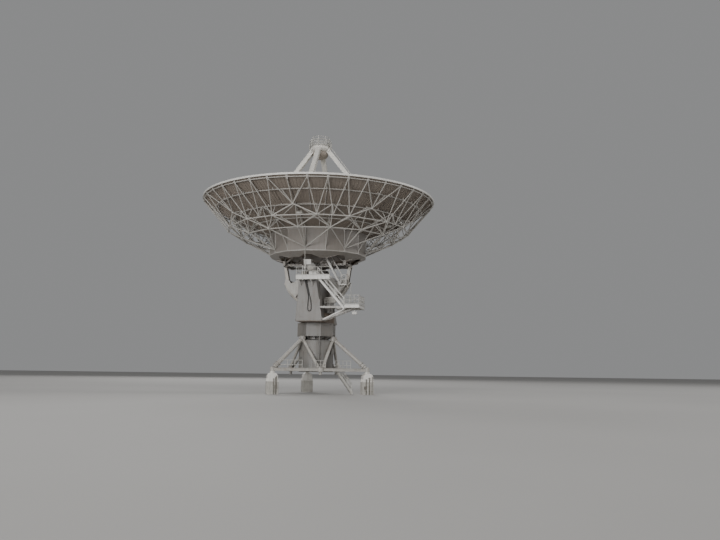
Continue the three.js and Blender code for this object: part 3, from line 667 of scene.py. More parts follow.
GROUPS = {}
FINISHES = {
    # yoke paint: white paint darkened to a mid grey as painted shade on the upper parts, which sit darker than the
    # parts near the ground; its streaks, grime and rust are real weathering
    "yoke_paint": dict(Paint="75726e", Streaks=0.32, Rust_Amount=0.35, Grime_Amount=0.25),
    "stand_paint": dict(Paint="aeaba5", Streaks=0.3, Rust_Amount=0.5, Grime_Amount=0.35),
    # cap paint: the lightest white, brighter than the other white paints as painted light on the feet near the ground;
    # its streaks, grime and rust are real weathering
    "cap_paint": dict(Paint="e2dfd9", Streaks=0.25, Rust_Amount=0.4, Grime_Amount=0.25),
    "lattice_paint": dict(Paint="b4b1ab", Streaks=0.12, Rust_Amount=0.25, Grime_Amount=0.2),
    # panel back: the white panel paint darkened to a warm grey as painted shade on the undersides of the dish; its
    # grime is real
    "panel_back": dict(Paint="8a8076", Streaks=0.1, Rust_Amount=0.1, Grime_Amount=0.25, Scale=0.7),
    "panel_face": dict(Paint="e6e5df", Streaks=0.0, Rust_Amount=0.05, Grime_Amount=0.12, Scale=0.6),
    # drum paint: white paint darkened to grey as painted shade on the hub drum, its rims and the frame below the hub;
    # its streaks, grime and rust are real weathering
    "drum_paint": dict(Paint="8a847e", Streaks=0.3, Rust_Amount=0.3, Grime_Amount=0.25),
    "skirt_paint": dict(Paint="8d8882", Streaks=0.3, Rust_Amount=0.4, Grime_Amount=0.35),
    "room_paint": dict(Paint="7f7d7a", Streaks=0.4, Rust_Amount=0.45, Grime_Amount=0.4),
    "leg_white": dict(Paint="c9c6bf", Streaks=0.15, Rust_Amount=0.15, Grime_Amount=0.15),
    "bright_white": dict(Paint="d4d2cd", Streaks=0.15, Rust_Amount=0.2, Grime_Amount=0.1),
    "rail_grey": dict(Paint="b3b1ab", Streaks=0.12, Rust_Amount=0.3, Grime_Amount=0.18),
    "gear_steel": dict(Paint="9b9790", Streaks=0.3, Rust_Amount=0.35, Grime_Amount=0.35, metal=0.25),
    # dark brown as painted shade on the yoke base, the turning ring and the undersides of the hub drum; its rust specks
    # are real
    "primer_brown": dict(Paint="6a5a4b", Streaks=0.3, Rust_Amount=0.7, Grime_Amount=0.3),
    # near black as painted shade in the gaps beside the room door and between its louvre slats
    "dark_inside": dict(Paint="24211f", Grime="171513", Streaks=0.2, Rust_Amount=0.1, Grime_Amount=0.3),
    "cable_rubber": dict(Paint="2a2827", Grime="4a4640", Streaks=0.2, Rust_Amount=0.0, Grime_Amount=0.4),
    "conduit_grey": dict(Paint="77746d", Streaks=0.3, Rust_Amount=0.4, Grime_Amount=0.3, metal=0.3),
}


def finish_of(name):
    """The material of that name, made on first use."""
    if name in bpy.data.materials:
        return bpy.data.materials[name]
    material = bpy.data.materials.new(name)
    material.use_nodes = True
    w = Wiring(material.node_tree)
    shader = material.node_tree.nodes["Principled BSDF"]
    kind = "concrete" if name == "pier_concrete" else "paint"
    if kind not in GROUPS:
        GROUPS[kind] = concrete_group() if kind == "concrete" else weathering_group()
    group = w.node("ShaderNodeGroup", node_tree=GROUPS[kind])
    values = dict(FINISHES.get(name, {}))
    shader.inputs["Metallic"].default_value = values.pop("metal", 0.0)
    for key, value in values.items():
        socket = group.inputs[key.replace("_", " ")]
        socket.default_value = colour(value) if isinstance(value, str) else value
    deep = 0.02 if kind == "concrete" else 0.006
    bump = w.node("ShaderNodeBump", {"Height": group.outputs["Height"], "Strength": 0.35, "Distance": deep})
    for socket, source in (
        ("Base Color", group.outputs[0]), ("Roughness", group.outputs[1]), ("Normal", bump.outputs[0])
    ):
        material.node_tree.links.new(source, shader.inputs[socket])
    return material


# Sizes and colours that a user would change
class TelescopeSettings(bpy.types.PropertyGroup):
    panel_gap: bpy.props.FloatProperty(
        name="Panel gap", description="Gap between two reflector panels", default=0.02, unit="LENGTH"
    )
    chord_radius: bpy.props.FloatProperty(
        name="Chord radius", description="Radius of the main lattice bars", default=0.062, unit="LENGTH"
    )
    strut_radius: bpy.props.FloatProperty(
        name="Strut radius", description="Radius of the slender lattice bars", default=0.048, unit="LENGTH"
    )
    bolt_size: bpy.props.FloatProperty(
        name="Bolt size", description="Radius of a washer on the flanges", default=0.035, unit="LENGTH"
    )
    tooth_count: bpy.props.IntProperty(name="Gear teeth", description="Teeth on the gear sector", default=78, min=12)
    floor_colour: bpy.props.FloatVectorProperty(
        name="Floor", description="Colour of the studio floor", subtype="COLOR", size=3, default=(0.42, 0.41, 0.395)
    )
    key_power: bpy.props.FloatProperty(
        name="Key light", description="Strength of the soft light from the front", default=43000.0, unit="POWER"
    )


def settings():
    return bpy.context.scene.telescope


def panel_skin(k, gap):
    """One curved panel of ring k, with its seam at angle 0."""
    n = PANEL_COUNTS[k]
    r0, r1 = PANEL_RINGS[k] + gap / 2, PANEL_RINGS[k + 1] - gap / 2
    across, deep = round(120 / n), 3
    top, low = [], []
    for i in range(deep + 1):
        r = r0 + (r1 - r0) * i / deep
        side = math.degrees(gap / 2 / r)
        for j in range(across + 1):
            deg = side + (360 / n - 2 * side) * j / across
            top.append(polar(deg, r, surface_z(r)))
            low.append(polar(deg, r, surface_z(r) - PANEL_SKIN))
    w = across + 1
    at = lambda i, j: i * w + j
    m = len(top)
    quads = [(at(i, j), at(i + 1, j), at(i + 1, j + 1), at(i, j + 1)) for i in range(deep) for j in range(across)]
    edge = [at(0, j) for j in range(w)] + [at(i, across) for i in range(1, deep + 1)]
    edge += [at(deep, j) for j in range(across - 1, -1, -1)] + [at(i, 0) for i in range(deep - 1, 0, -1)]
    rim = [(edge[i], edge[(i + 1) % len(edge)]) for i in range(len(edge))]
    faces = quads + [tuple(m + v for v in reversed(q)) for q in quads] + [(b, a, m + a, m + b) for a, b in rim]
    return outward(Shape().add(top + low, faces).mesh("panel"))


def panel_ribs(k, gap):
    """The frame on the back of one panel of ring k."""
    n = PANEL_COUNTS[k]
    r0, r1 = PANEL_RINGS[k] + gap + 0.03, PANEL_RINGS[k + 1] - gap - 0.03
    shape = Shape()
    at = lambda deg, r, d=0.045: polar(deg, r, surface_z(r) - PANEL_SKIN - d)
    inset = lambda r: math.degrees(0.03 / r)
    across = max(2, round(math.radians(360 / n) * r1 / 0.36))
    for j in range(across + 1):
        place = lambda r: inset(r) + (360 / n - 2 * inset(r)) * j / across
        deep = 0.08 if j in (0, across) else 0.035
        for i in range(2):
            a, b = r0 + (r1 - r0) * i / 2, r0 + (r1 - r0) * (i + 1) / 2
            shape.bar(at(place(a), a, deep / 2), at(place(b), b, deep / 2), 0.025, deep)
    parts = max(1, round(60 / n))
    for r in (r0, r1):
        for j in range(parts):
            a, b = (inset(r) + (360 / n - 2 * inset(r)) * (j + s) / parts for s in (0, 1))
            shape.bar(at(a, r, 0.025), at(b, r, 0.025), 0.03, 0.05)
    return shape.mesh("ribs")


class TELESCOPE_OT_reflector(bpy.types.Operator):
    """Builds the panels in six rings, their back frames and the rim"""

    bl_idname = "telescope.reflector"
    bl_label = "Reflector"

    def execute(self, context):
        gap = settings().panel_gap
        face, back = finish_of("panel_face"), finish_of("panel_back")
        for name, rings in (("inner", (0, 1)), ("middle", (2, 3)), ("outer", (4, 5))):
            skins = [grown("ring", panel_skin(k, gap), face, Count=PANEL_COUNTS[k]) for k in rings]
            ribs = [grown("ring", panel_ribs(k, gap), back, Count=PANEL_COUNTS[k]) for k in rings]
            skin, frames = merged(*skins), merged(*ribs)
            piece("reflector_panels_" + name, skin, face, "dish", "panel", ["panels_" + name])
            # Faces of the skins turned down take the panel back finish: painted shade on the underside of the white
            # panels
            skin.materials.append(back)
            for polygon in skin.polygons:
                polygon.material_index = int(polygon.normal.z < 0.1)
            piece("panel_frames_" + name, frames, back, "dish", "panel", smooth=0)
        z = surface_z(PANEL_RINGS[-1])
        rim = Shape().lathe([(12.405, z - 0.15), (12.465, z - 0.15), (12.465, RIM_Z), (12.405, RIM_Z - 0.012)], 160)
        rim.lathe([(12.36, z - 0.15), (12.405, z - 0.15), (12.405, z - 0.138), (12.36, z - 0.138)], 160)
        piece("rim_band", outward(rim.mesh("rim")), finish_of("bright_white"), "dish", "panel")
        throat = Shape().lathe([(1.17, 16.0), (1.2, 16.0), (1.2, surface_z(1.2)), (1.17, surface_z(1.2))], 48)
        piece("throat_ring", outward(throat.mesh("throat")), finish_of("panel_face"), "dish", "panel")
        return {"FINISHED"}


def lattice_pairs():
    """Main bars and slender bars of the lattice, by their end points."""
    mid = (KNEE[0] * cos_deg(KNEE_HALF), KNEE[1])
    hub_low, hub_top = (HUB_R + 0.01, 14.78), (HUB_R + 0.01, 16.7)
    under = lambda r, d=0.25: (r, surface_z(r) - d)
    rib, outer_hoop, inner_hoop = under(9.3), under(11.1, 0.27), under(9.2, 0.26)
    k0, k1 = 22.5 - KNEE_HALF, 22.5 + KNEE_HALF
    main, slim = [], []
    for k in range(8):
        at = lambda a, node: polar(45 * k + a, *node)
        main += [(at(a, KNEE), at(b, KNEE)) for a, b in ((k0, k1), (k1, 45 + k0))]
        main += [(at(a, LOWER), at(b, LOWER)) for a, b in ((0, 22.5), (22.5, 45))]
        main += [(at(0, STAR), at(k0, KNEE)), (at(45, STAR), at(k1, KNEE))]
        main += [(at(a, LOWER), at(b, KNEE)) for a, b in ((0, k0), (22.5, k0), (22.5, k1), (45, k1))]
        main += [(at(a, LOWER), at(b, hub_low)) for a, b in ((0, 0), (22.5, 0), (22.5, 45))]
        slim += [(at(a, RIM_NODE), at(b, STAR)) for a, b in ((0, 0), (9, 0), (36, 45))]
        slim += [(at(a, RIM_NODE), at(k0, KNEE)) for a in (9, 18)]
        slim += [(at(a, RIM_NODE), at(22.5, mid)) for a in (18, 27)]
        slim += [(at(a, RIM_NODE), at(k1, KNEE)) for a in (27, 36)]
        slim += [(at(a, hub_top), at(a, rib)) for a in (0, 22.5)]
        slim += [(at(0, rib), at(0, STAR)), (at(22.5, rib), at(22.5, mid))]
        slim += [(at(a, under(7.2)), at(a, LOWER)) for a in (0, 22.5)]
        slim += [(at(a, LOWER), at(a, rib)) for a in (0, 22.5)]
        slim += [(at(a, under(7.2)), at(a, hub_low)) for a in (0, 22.5)]
        slim += [(at(0, STAR), at(a, outer_hoop)) for a in (-4.5, 4.5)]
        slim += [(at(a, KNEE), at(a, inner_hoop)) for a in (k0, k1)]
        slim += [(at(a, LOWER), at(b, rib)) for a, b in ((0, 22.5), (22.5, 0), (22.5, 45), (45, 22.5))]
    for i in range(40):
        for node in (outer_hoop, inner_hoop, under(7.2)):
            slim.append((polar(9 * i, *node), polar(9 * i + 9, *node)))
        slim.append((polar(9 * i, *RIM_NODE), polar(9 * i + 9, *RIM_NODE)))
        slim += [(polar(9 * i, *n), polar(9 * i, n[0], surface_z(n[0]) - 0.05)) for n in (outer_hoop, inner_hoop)]
        slim.append((polar(9 * i, *RIM_NODE), polar(9 * i, 12.34, surface_z(12.34) - 0.05)))
    return main, slim


class TELESCOPE_OT_lattice(bpy.types.Operator):
    """Builds the lattice behind the panels, with its hoops and joints"""

    bl_idname = "telescope.lattice"
    bl_label = "Lattice"

    def execute(self, context):
        paint = finish_of("lattice_paint")
        main, slim = lattice_pairs()
        bars = round_bars(main, settings().chord_radius, paint)
        piece("lattice_bars", bars, paint, "dish", "lattice", ["lattice_" + q for q in QUARTERS])
        piece("lattice_struts", round_bars(slim, settings().strut_radius, paint), paint, "dish", "lattice")
        ball = bpy.data.meshes.new("ball")
        bm = bmesh.new()
        bmesh.ops.create_icosphere(bm, subdivisions=2, radius=1)
        bm.to_mesh(ball)
        bm.free()
        shape = bpy.data.objects.new("ball_shape", ball)
        bpy.context.scene.collection.objects.link(shape)
        spots = bpy.data.meshes.new("spots")
        places = [polar(45 * k + a, *n) for k in range(8) for a, n in ((0, STAR), (0, LOWER), (22.5, LOWER))]
        places += [polar(45 * k + 22.5 + s * KNEE_HALF, *KNEE) for k in range(8) for s in (-1, 1)]
        spots.from_pydata([tuple(p) for p in places], [], [])
        spots.attributes.new("turn", "FLOAT_VECTOR", "POINT")
        joints = grown("scatter", spots, paint, Shape=shape, Size=0.125)
        bpy.data.objects.remove(shape)
        plates = Shape()
        for i in range(40):
            a = polar(9 * i, 12.18, 19.98)
            plates.bar(a, polar(9 * i, 12.39, 20.28), 0.22, 0.02)
        both = merged(joints, plates.mesh("plates"))
        piece("lattice_joints", both, paint, "dish", "lattice")
        return {"FINISHED"}


def skirt_plate(k):
    """One of the plates that lean inwards below the hub, with the arch and the placing that the stiffener round its
    edge follows.
    """
    arch = [(4.0, 5.0), (4.08, 6.6), (4.2, 9.0), (4.32, 11.6), (4.45, 13.9), (4.55, 15.4), (4.63, 16.6), (4.68, 18.2)]
    if k in (4, 7):  # shorter, to pass the upper platforms at full tilt
        arch = [(4.22, 9.4)] + arch[3:]
    arch += [(4.7, 22.5), (HUB_R, 22.5)]
    lean = lambda r: SKIRT_LOW + (r - SKIRT_R) / (HUB_R - SKIRT_R) * (HUB_LOW - 0.001 - SKIRT_LOW)
    facet = lambda r, t: r * cos_deg(11.25) / cos_deg(abs(t) - 11.25)
    at = lambda r, t, up=0.0: polar(22.5 + 45 * k + t, facet(r, t), lean(r) + up)
    shape = Shape()
    n = len(arch)
    verts = [at(r - 0.06 * (up > 0), t, up) for up in (0.0, 0.03) for r, a in arch for t in (-a, 0, a)]
    faces = []
    for i in range(n - 1):
        for j in range(2):
            p = 3 * i + j
            faces.append((p, p + 1, p + 4, p + 3))
            faces.append((3 * n + p, 3 * n + p + 3, 3 * n + p + 4, 3 * n + p + 1))
        for j in (0, 2):
            p = 3 * i + j
            faces.append((p, p + 3, 3 * n + p + 3, 3 * n + p))
    for i in (0, n - 1):
        for j in range(2):
            p = 3 * i + j
            faces.append((p, p + 1, 3 * n + p + 1, 3 * n + p))
    return shape.add(verts, faces), at, arch


class TELESCOPE_OT_drum(bpy.types.Operator):
    """Builds the hub drum with its arched openings, seams and drop pipe"""

    bl_idname = "telescope.drum"
    bl_label = "Hub drum"

    def execute(self, context):
        paint = finish_of("drum_paint")
        wall = [
            (0, HUB_LOW), (HUB_R, HUB_LOW), (HUB_R, HUB_TOP), (HUB_R - 0.08, HUB_TOP), (HUB_R - 0.08, HUB_LOW + 0.08)
        ]
        shell = Shape().lathe(wall + [(0, HUB_LOW + 0.08)], 16)
        drum = outward(shell.mesh("drum"))
        piece("hub_drum_shell", drum, paint, "dish", "paint", ["hub_drum"], smooth=12)
        # Faces of the drum turned down take the dark brown: painted shade on its underside
        drum.materials.append(finish_of("primer_brown"))
        for polygon in drum.polygons:
            polygon.material_index = int(polygon.normal.z < -0.5)
        plates = []
        rims = Shape()
        for k in range(8):
            plate, at, arch = skirt_plate(k)
            plates.append(outward(plate.mesh("plate")))
            for s in (-1, 1):
                for (r0, a0), (r1, a1) in zip(arch, arch[1:-1]):
                    rims.bar(at(r0, s * a0, -0.012), at(r1, s * a1, -0.012), 0.045, 0.03)
            rims.bar(at(arch[0][0], -arch[0][1], -0.012), at(arch[0][0], arch[0][1], -0.012), 0.045, 0.03)
        piece("hub_skirt_plates", merged(*plates), finish_of("skirt_paint"), "dish", "paint", ["hub_skirt"], smooth=12)
        piece("hub_skirt_rims", rims.mesh("rims"), paint, "dish", "paint", smooth=0)
        trim = Shape()
        for k in range(16):
            a, b = (polar(22.5 * k + s, HUB_R + 0.012, 0) for s in (0, 22.5))
            lift = lambda p, z: Vector((p.x, p.y, z))
            trim.bar(lift(a, HUB_LOW + 0.02), lift(a, HUB_TOP), 0.05, 0.02)
            for z, h in ((HUB_LOW + 0.06, 0.1), (HUB_TOP - 0.04, 0.06)):
                trim.bar(lift(a, z), lift(b, z), 0.02, h)
        piece("drum_seams", trim.mesh("trim"), finish_of("stand_paint"), "dish", "paint", smooth=0)
        pipe = Shape().tube((0, -5.34, 16.7), (0, -5.34, 12.62), 0.034, 12)
        for z in (16.2, 15.4, 14.7):
            pipe.tube((0, -5.34, z - 0.03), (0, -5.34, z + 0.03), 0.048, 12)
            pipe.box(-0.03, 0.03, -5.32, -5.18, z - 0.02, z + 0.02)
        pipe.box(-0.08, 0.08, -5.4, -5.26, 12.52, 12.72)
        piece("drop_pipe", pipe.mesh("pipe"), finish_of("rail_grey"), "dish", "paint")
        return {"FINISHED"}


class TELESCOPE_OT_feed(bpy.types.Operator):
    """Builds the feed room in the middle of the dish"""

    bl_idname = "telescope.feed"
    bl_label = "Feed room"

    def execute(self, context):
        z0 = HUB_LOW + 0.081
        wall = [(0, z0), (1.09, z0), (1.09, 17.7), (0.9, 18.46), (0.9, 18.49), (0, 18.49)]
        room = Shape().lathe(wall, 64)
        for z in (15.2, 16.1, 17.0, 17.66):
            room.lathe([(1.085, z), (1.115, z), (1.115, z + 0.06), (1.085, z + 0.06)], 64)
        room.lathe([(0.86, 18.44), (0.95, 18.44), (0.95, 18.5), (0.86, 18.5)], 64)
        for k in range(4):
            room.bar(polar(45 + 90 * k, 1.1, 16.55), polar(45 + 90 * k, 1.1, 17.45), 0.6, 0.03)
        white = finish_of("bright_white")
        piece("feed_room_shell", outward(room.mesh("room")), white, "dish", "white", ["feed_room"])
        horns = Shape()
        for r, deg, size in ((0.0, 0, 0.3), (0.58, 30, 0.17), (0.58, 150, 0.17), (0.58, 270, 0.21)):
            p = polar(deg, r, 0)
            profile = [(0, 18.47), (size * 0.55, 18.47), (size, 18.9), (size + 0.03, 18.9), (size + 0.03, 18.94)]
            profile += [(size - 0.02, 18.94), (size * 0.5, 18.55), (0, 18.55)]
            horns.lathe(profile, 32, centre=(p.x, p.y, 0))
        piece("feed_horns", outward(horns.mesh("horns")), finish_of("gear_steel"), "dish", "white")
        spots = bolt_circle((0, 0, 18.5), (0, 0, 1), 0.9, 24)
        heads = bolts(spots, 0.02, white)
        piece("feed_room_bolts", heads, white, "dish", "white", smooth=0)
        return {"FINISHED"}


class TELESCOPE_OT_apex(bpy.types.Operator):
    """Builds the four feed legs, the apex room, its cage and the subreflector"""

    bl_idname = "telescope.apex"
    bl_label = "Feed legs and apex"

    def execute(self, context):
        white = finish_of("leg_white")
        spots = []
        for k, name in enumerate(QUARTERS):
            deg = 90 * k
            low = polar(deg, LEG_FOOT_R + 0.31, surface_z(LEG_FOOT_R) - 0.4)
            high = polar(deg, 0.69, 26.636)
            run = (high - low).normalized()
            start = low + run * (0.46 / run.z)
            out, side = polar(deg, 1, 0), polar(deg + 90, 1, 0)
            face = run.cross(side).normalized()
            face = -face if face.dot(out) < 0 else face
            stop = low + run * ((26.5 - low.z) / run.z)
            leg = Shape()
            leg.bar(start, stop, 0.44, 0.4)
            for s in (-1, 1):
                for h in (-1, 1):
                    edge = side * 0.21 * s + face * 0.19 * h
                    leg.bar(start + edge, stop + edge, 0.06, 0.06)
            length = (stop - start).length
            for n in range(1, 10):
                p = start + run * (length * n / 10)
                thick = 0.05 if n in (3, 6) else 0.018
                flange = 0.09 if n in (3, 6) else 0.03
                leg.bar(p - run * thick, p + run * thick, 0.44 + flange, 0.4 + flange)
                if n in (3, 6):
                    for s in (-1, -0.33, 0.33, 1):
                        spots += [(p + run * 0.05 + side * 0.245 * s + face * 0.225 * h, run) for h in (-1, 1)]
            centre = polar(deg, LEG_FOOT_R, 0)
            z = surface_z(LEG_FOOT_R)
            shoe = [(0, z - 0.14), (0.38, z - 0.14), (0.38, z + 0.13), (0.36, z + 0.15), (0, z + 0.15)]
            leg.lathe(shoe, 32, centre=centre)
            spots += bolt_circle(centre + rise(z + 0.15), (0, 0, 1), 0.33, 12)
            for s in (-1, 1):
                foot = start + side * 0.24 * s
                leg.bar(foot + side * 0.05 * s, foot + run * 0.5, 0.02, 0.3)
            if k == 1:
                rod = face * 0.42
                leg.tube(start.lerp(stop, 0.55) + rod * 0.8, stop + rod * 1.05, 0.022, 8)
                for n in range(8):
                    p = start.lerp(stop, 0.56 + 0.06 * n)
                    leg.tube(p + face * 0.1, p + rod * 0.85, 0.014, 6)
            piece("feed_leg_box_" + name, leg.mesh("leg"), white, "dish", "white", ["feed_leg_" + name], smooth=30)
        heads = bolts(spots, 0.028, white)
        piece("feed_leg_bolts", heads, white, "dish", "white", smooth=0)

        z0, z1, r = APEX_LOW, APEX_TOP, APEX_R
        profile = [
            (0, z0), (r - 0.18, z0), (r - 0.16, z0 + 0.02), (r - 0.02, z0 + 0.11), (r, z0 + 0.14), (r, z1 - 0.33)
        ]
        profile += [(r + 0.055, z1 - 0.33), (r + 0.055, z1 - 0.001), (0, z1 - 0.001)]
        barrel = Shape().lathe(profile, 64)
        for k in range(8):
            a = 22.5 + 45 * k
            barrel.bar(polar(a, r + 0.008, z0 + 0.16), polar(a, r + 0.008, z1 - 0.34), 0.06, 0.025)
            barrel.bar(polar(a, r + 0.06, z1 - 0.32), polar(a, r + 0.06, z1 - 0.03), 0.08, 0.03)
        for k in range(4):
            a, b = polar(90 * k, r + 0.01, z1 - 0.55), polar(90 * k, r + 0.14, z1 - 0.28)
            barrel.bar(a, b, 0.7, 0.16)
            barrel.bar(polar(90 * k + 90, r + 0.09, z1 - 0.6), polar(90 * k + 90, r + 0.09, z1 - 0.05), 0.1, 0.16)
        piece("apex_room", outward(barrel.mesh("barrel")), white, "dish", "white", ["apex_barrel"])

        z = APEX_LOW - 0.001
        profile = [(0, z - 0.82), (0.2, z - 0.808), (0.4, z - 0.775), (0.56, z - 0.72), (0.7, z - 0.63), (0.8, z - 0.5)]
        profile += [(0.85, z - 0.38), (0.85, z - 0.3), (0.82, z - 0.28), (0.8, z - 0.05), (0.7, z), (0, z)]
        mirror = Shape().lathe(profile, 64)
        for k in range(12):
            mirror.bar(polar(30 * k, 0.815, z - 0.27), polar(30 * k, 0.815, z - 0.02), 0.025, 0.03)
        # The subreflector takes the panel back finish: a dark grey as painted shade on its underside
        piece(
            "subreflector_dish",
            outward(mirror.mesh("mirror")),
            finish_of("panel_back"),
            "dish",
            "white",
            ["subreflector"],
        )

        grey = finish_of("rail_grey")
        z = APEX_TOP
        floor = Shape().lathe([(0, z), (1.05, z), (1.05, z + 0.06), (0, z + 0.06)], 32)
        for s in (-1, 1):
            lo, hi = sorted((s * 1.2, s * 1.23))
            floor.box(lo, hi, -0.2, 0.2, z - 0.3, z + 0.42).box(
                *sorted((s * 0.98, s * 1.2)), -0.03, 0.03, z - 0.05, z + 0.05
            )
        pairs = []
        for i in range(16):
            a, b = 22.5 * i, 22.5 * (i + 1)
            pairs += [(polar(a, 0.955, h), polar(b, 0.955, h)) for h in (z + 0.36, z + 0.7, TOP_RAIL - 0.03)]
            pairs += [(polar(a, 1.16, h), polar(b, 1.16, h)) for h in (z + 0.12, z + 0.42, z + 0.66)]
            if i % 2 == 0:
                pairs.append((polar(a, 0.955, z + 0.05), polar(a, 0.955, TOP_RAIL - 0.03)))
                pairs += [
                    (polar(a, 1.16, z + 0.02), polar(a, 1.16, z + 0.66)),
                    (polar(a, 1.04, z + 0.03), polar(a, 1.16, z + 0.03)),
                ]
        cage = merged(round_bars(pairs, 0.03, grey), floor.mesh("floor"))
        piece("apex_cage", outward(cage), grey, "dish", "white", ["apex_railing"])
        return {"FINISHED"}


class TELESCOPE_OT_gear(bpy.types.Operator):
    """Builds the toothed gear sector, its spokes, the counterweights and the frame below the hub"""

    bl_idname = "telescope.gear"
    bl_label = "Gear and counterweights"

    def execute(self, context):
        steel = finish_of("gear_steel")
        teeth = settings().tooth_count
        at = lambda r, deg: (r * cos_deg(deg), AXIS_Z + r * sin_deg(deg))
        step = (GEAR_ARC[1] - GEAR_ARC[0]) / teeth
        inner = [at(GEAR_IN, GEAR_ARC[1] - (GEAR_ARC[1] - GEAR_ARC[0]) * i / 72) for i in range(73)]
        gear = Shape()
        half = GEAR_T / 2
        base = [at(GEAR_R - 0.1, GEAR_ARC[0] + (GEAR_ARC[1] - GEAR_ARC[0]) * i / 72) for i in range(73)]
        gear.prism(base + inner, -half, half, "y")
        for i in range(teeth):
            a = GEAR_ARC[0] + step * i
            shape = [at(GEAR_R - 0.11, a + step * 0.12), at(GEAR_R, a + step * 0.34), at(GEAR_R, a + step * 0.66)]
            gear.prism(shape + [at(GEAR_R - 0.11, a + step * 0.88)], -half + 0.06, half - 0.06, "y")
        for r0, r1 in ((GEAR_IN, GEAR_IN + 0.07), (GEAR_R - 0.2, GEAR_R - 0.12)):
            for s in (-1, 1):
                arcs = [
                    at(r1, GEAR_ARC[0] + 2 * i) for i in range(73)
                ] + [at(r0, GEAR_ARC[1] - 2 * i) for i in range(73)]
                lo, hi = sorted((s * half, s * (half + 0.035)))
                gear.prism(arcs, lo, hi, "y")
        for a in range(207, 342, 9):
            p, q = at(GEAR_IN + 0.02, a), at(GEAR_R - 0.16, a)
            for s in (-1, 1):
                gear.bar((p[0], s * (half + 0.012), p[1]), (q[0], s * (half + 0.012), q[1]), 0.03, 0.03)
        for a in (216, 270, 324):
            p, q = at(0.45, a), at(GEAR_IN + 0.05, a)
            gear.bar((p[0], 0, p[1]), (q[0], 0, q[1]), 0.12, 0.3, up=(0, 1, 0))
            for s in (-1, 1):
                gear.bar((p[0], s * 0.14, p[1]), (q[0], s * 0.14, q[1]), 0.3, 0.035, up=(0, 1, 0))
        profile = [(0.29, -half), (0.52, -half), (0.52, half), (0.29, half)]
        gear.lathe(profile, 48, centre=(0, 0, AXIS_Z), axis="y")
        gear.lathe(
            [(0.3, -half - 0.06), (0.4, -half - 0.06), (0.4, half + 0.06), (0.3, half + 0.06)],
            48,
            centre=(0, 0, AXIS_Z),
            axis="y",
        )
        for s in (-1, 1):
            arm = [(s * 3.4, FRAME_LOW), (s * 3.7, FRAME_LOW), (s * 3.44, 11.6), (s * 3.08, 11.7)]
            for y in (-half, half - 0.06):
                gear.prism(arm, y, y + 0.06, "y")
            for t in (0, 0.34, 0.68, 1):
                a = Vector((s * (3.4 - 0.31 * t), 0, FRAME_LOW - 0.03 - 1.7 * t))
                b = Vector((s * (3.7 - 0.26 * t), 0, FRAME_LOW - 0.03 - 1.77 * t))
                gear.bar(a, b, GEAR_T - 0.02, 0.05)
        spots = []
        for a in range(201, 341, 3):
            p = at(GEAR_R - 0.33, a)
            spots += [((p[0], s * (half + 0.001), p[1]), (0, s, 0)) for s in (-1, 1)]
        heads = bolts(spots, 0.03, steel)
        mesh = merged(outward(gear.mesh("gear")), heads)
        piece("gear_wheel", mesh, steel, "dish", "paint", ["gear_sector"], smooth=25)

        for s, name in ((-1, "left"), (1, "right")):
            a0, a1 = ((206, 233), (307, 334))[s > 0]
            arc = [at(3.5, 200 + 33 * j / 14) for j in range(15)]
            arc += [
                (-1.5, 10.9), (-1.55, 11.6), (-1.75, 12.1), (-2.0, 12.1), (-2.36, 11.3), (-2.95, 11.98), (-3.3, 12.0)
            ]
            outline = [(x if s < 0 else -x, z) for x, z in (arc if s < 0 else arc[::-1])]
            blocks = Shape()
            for side in (-1, 1):
                for i in range(3):
                    lo, hi = sorted((side * (0.3 + i * 0.285), side * (0.3 + i * 0.285 + 0.27)))
                    blocks.prism(outline, lo, hi, "y")
                lo, hi = sorted((side * 0.29, side * 1.15))
                blocks.prism([at(3.46, a0 + 1), at(3.46, a1 - 1), at(2.54, a1 - 1), at(2.54, a0 + 1)], lo, hi, "y")
            spots = [
                ((*at(r, a),), side) for r in (2.7, 3.3) for a in (a0 + 4, (a0 + a1) / 2, a1 - 4) for side in (-1, 1)
            ]
            heads = bolts([((p[0], side * 1.14, p[1]), (0, side, 0)) for p, side in spots], 0.06, steel)
            mesh = merged(outward(blocks.mesh("blocks")), heads)
            piece(
                "counterweight_blocks_" + name,
                mesh,
                finish_of("stand_paint"),
                "dish",
                "paint",
                ["counterweight_" + name],
                smooth=25,
            )

        paint = finish_of("drum_paint")
        under = Shape()
        for s in (-1, 1):
            y = s * 1.2
            for z in (FRAME_LOW + 0.012, FRAME_UP - 0.012):
                under.box(-3.45, 3.45, y - 0.15, y + 0.15, z - 0.012, z + 0.012)
            under.box(-3.45, 3.45, y - 0.012, y + 0.012, FRAME_LOW, FRAME_UP)
            for i in range(18):
                x = -3.4 + 0.4 * i
                under.box(x - 0.01, x + 0.01, y - 0.145, y + 0.145, FRAME_LOW + 0.02, FRAME_UP - 0.02)
            low, high = sorted((s * 1.05, s * 1.65))
            plate = [(-0.48, FRAME_UP + 0.06), (-0.48, AXIS_Z - 0.15), (-0.36, AXIS_Z - 0.38), (0.36, AXIS_Z - 0.38)]
            plate += [(0.48, AXIS_Z - 0.15), (0.48, FRAME_UP + 0.06)]
            under.prism(plate, low, low + 0.12, "y").prism(plate, high - 0.12, high, "y")
            under.box(-0.46, 0.46, low, high, FRAME_LOW - 0.02, FRAME_UP + 0.05)
            under.lathe([(0.285, low), (0.44, low), (0.44, high), (0.285, high)], 40, centre=(0, 0, AXIS_Z), axis="y")
            under.box(s * 3.42 - 0.15, s * 3.42 + 0.15, -1.0, 1.0, FRAME_LOW + 0.01, FRAME_UP - 0.01)
            for e in (-1, 1):
                under.bar((e * 0.35, s * 1.2, FRAME_UP - 0.06), (e * 1.5, s * 1.1, HUB_LOW), 0.14, 0.2)
                under.bar((e * 3.34, s * 1.2, FRAME_UP - 0.1), (e * 3.34, s * 1.2, HUB_LOW), 0.16, 0.18)
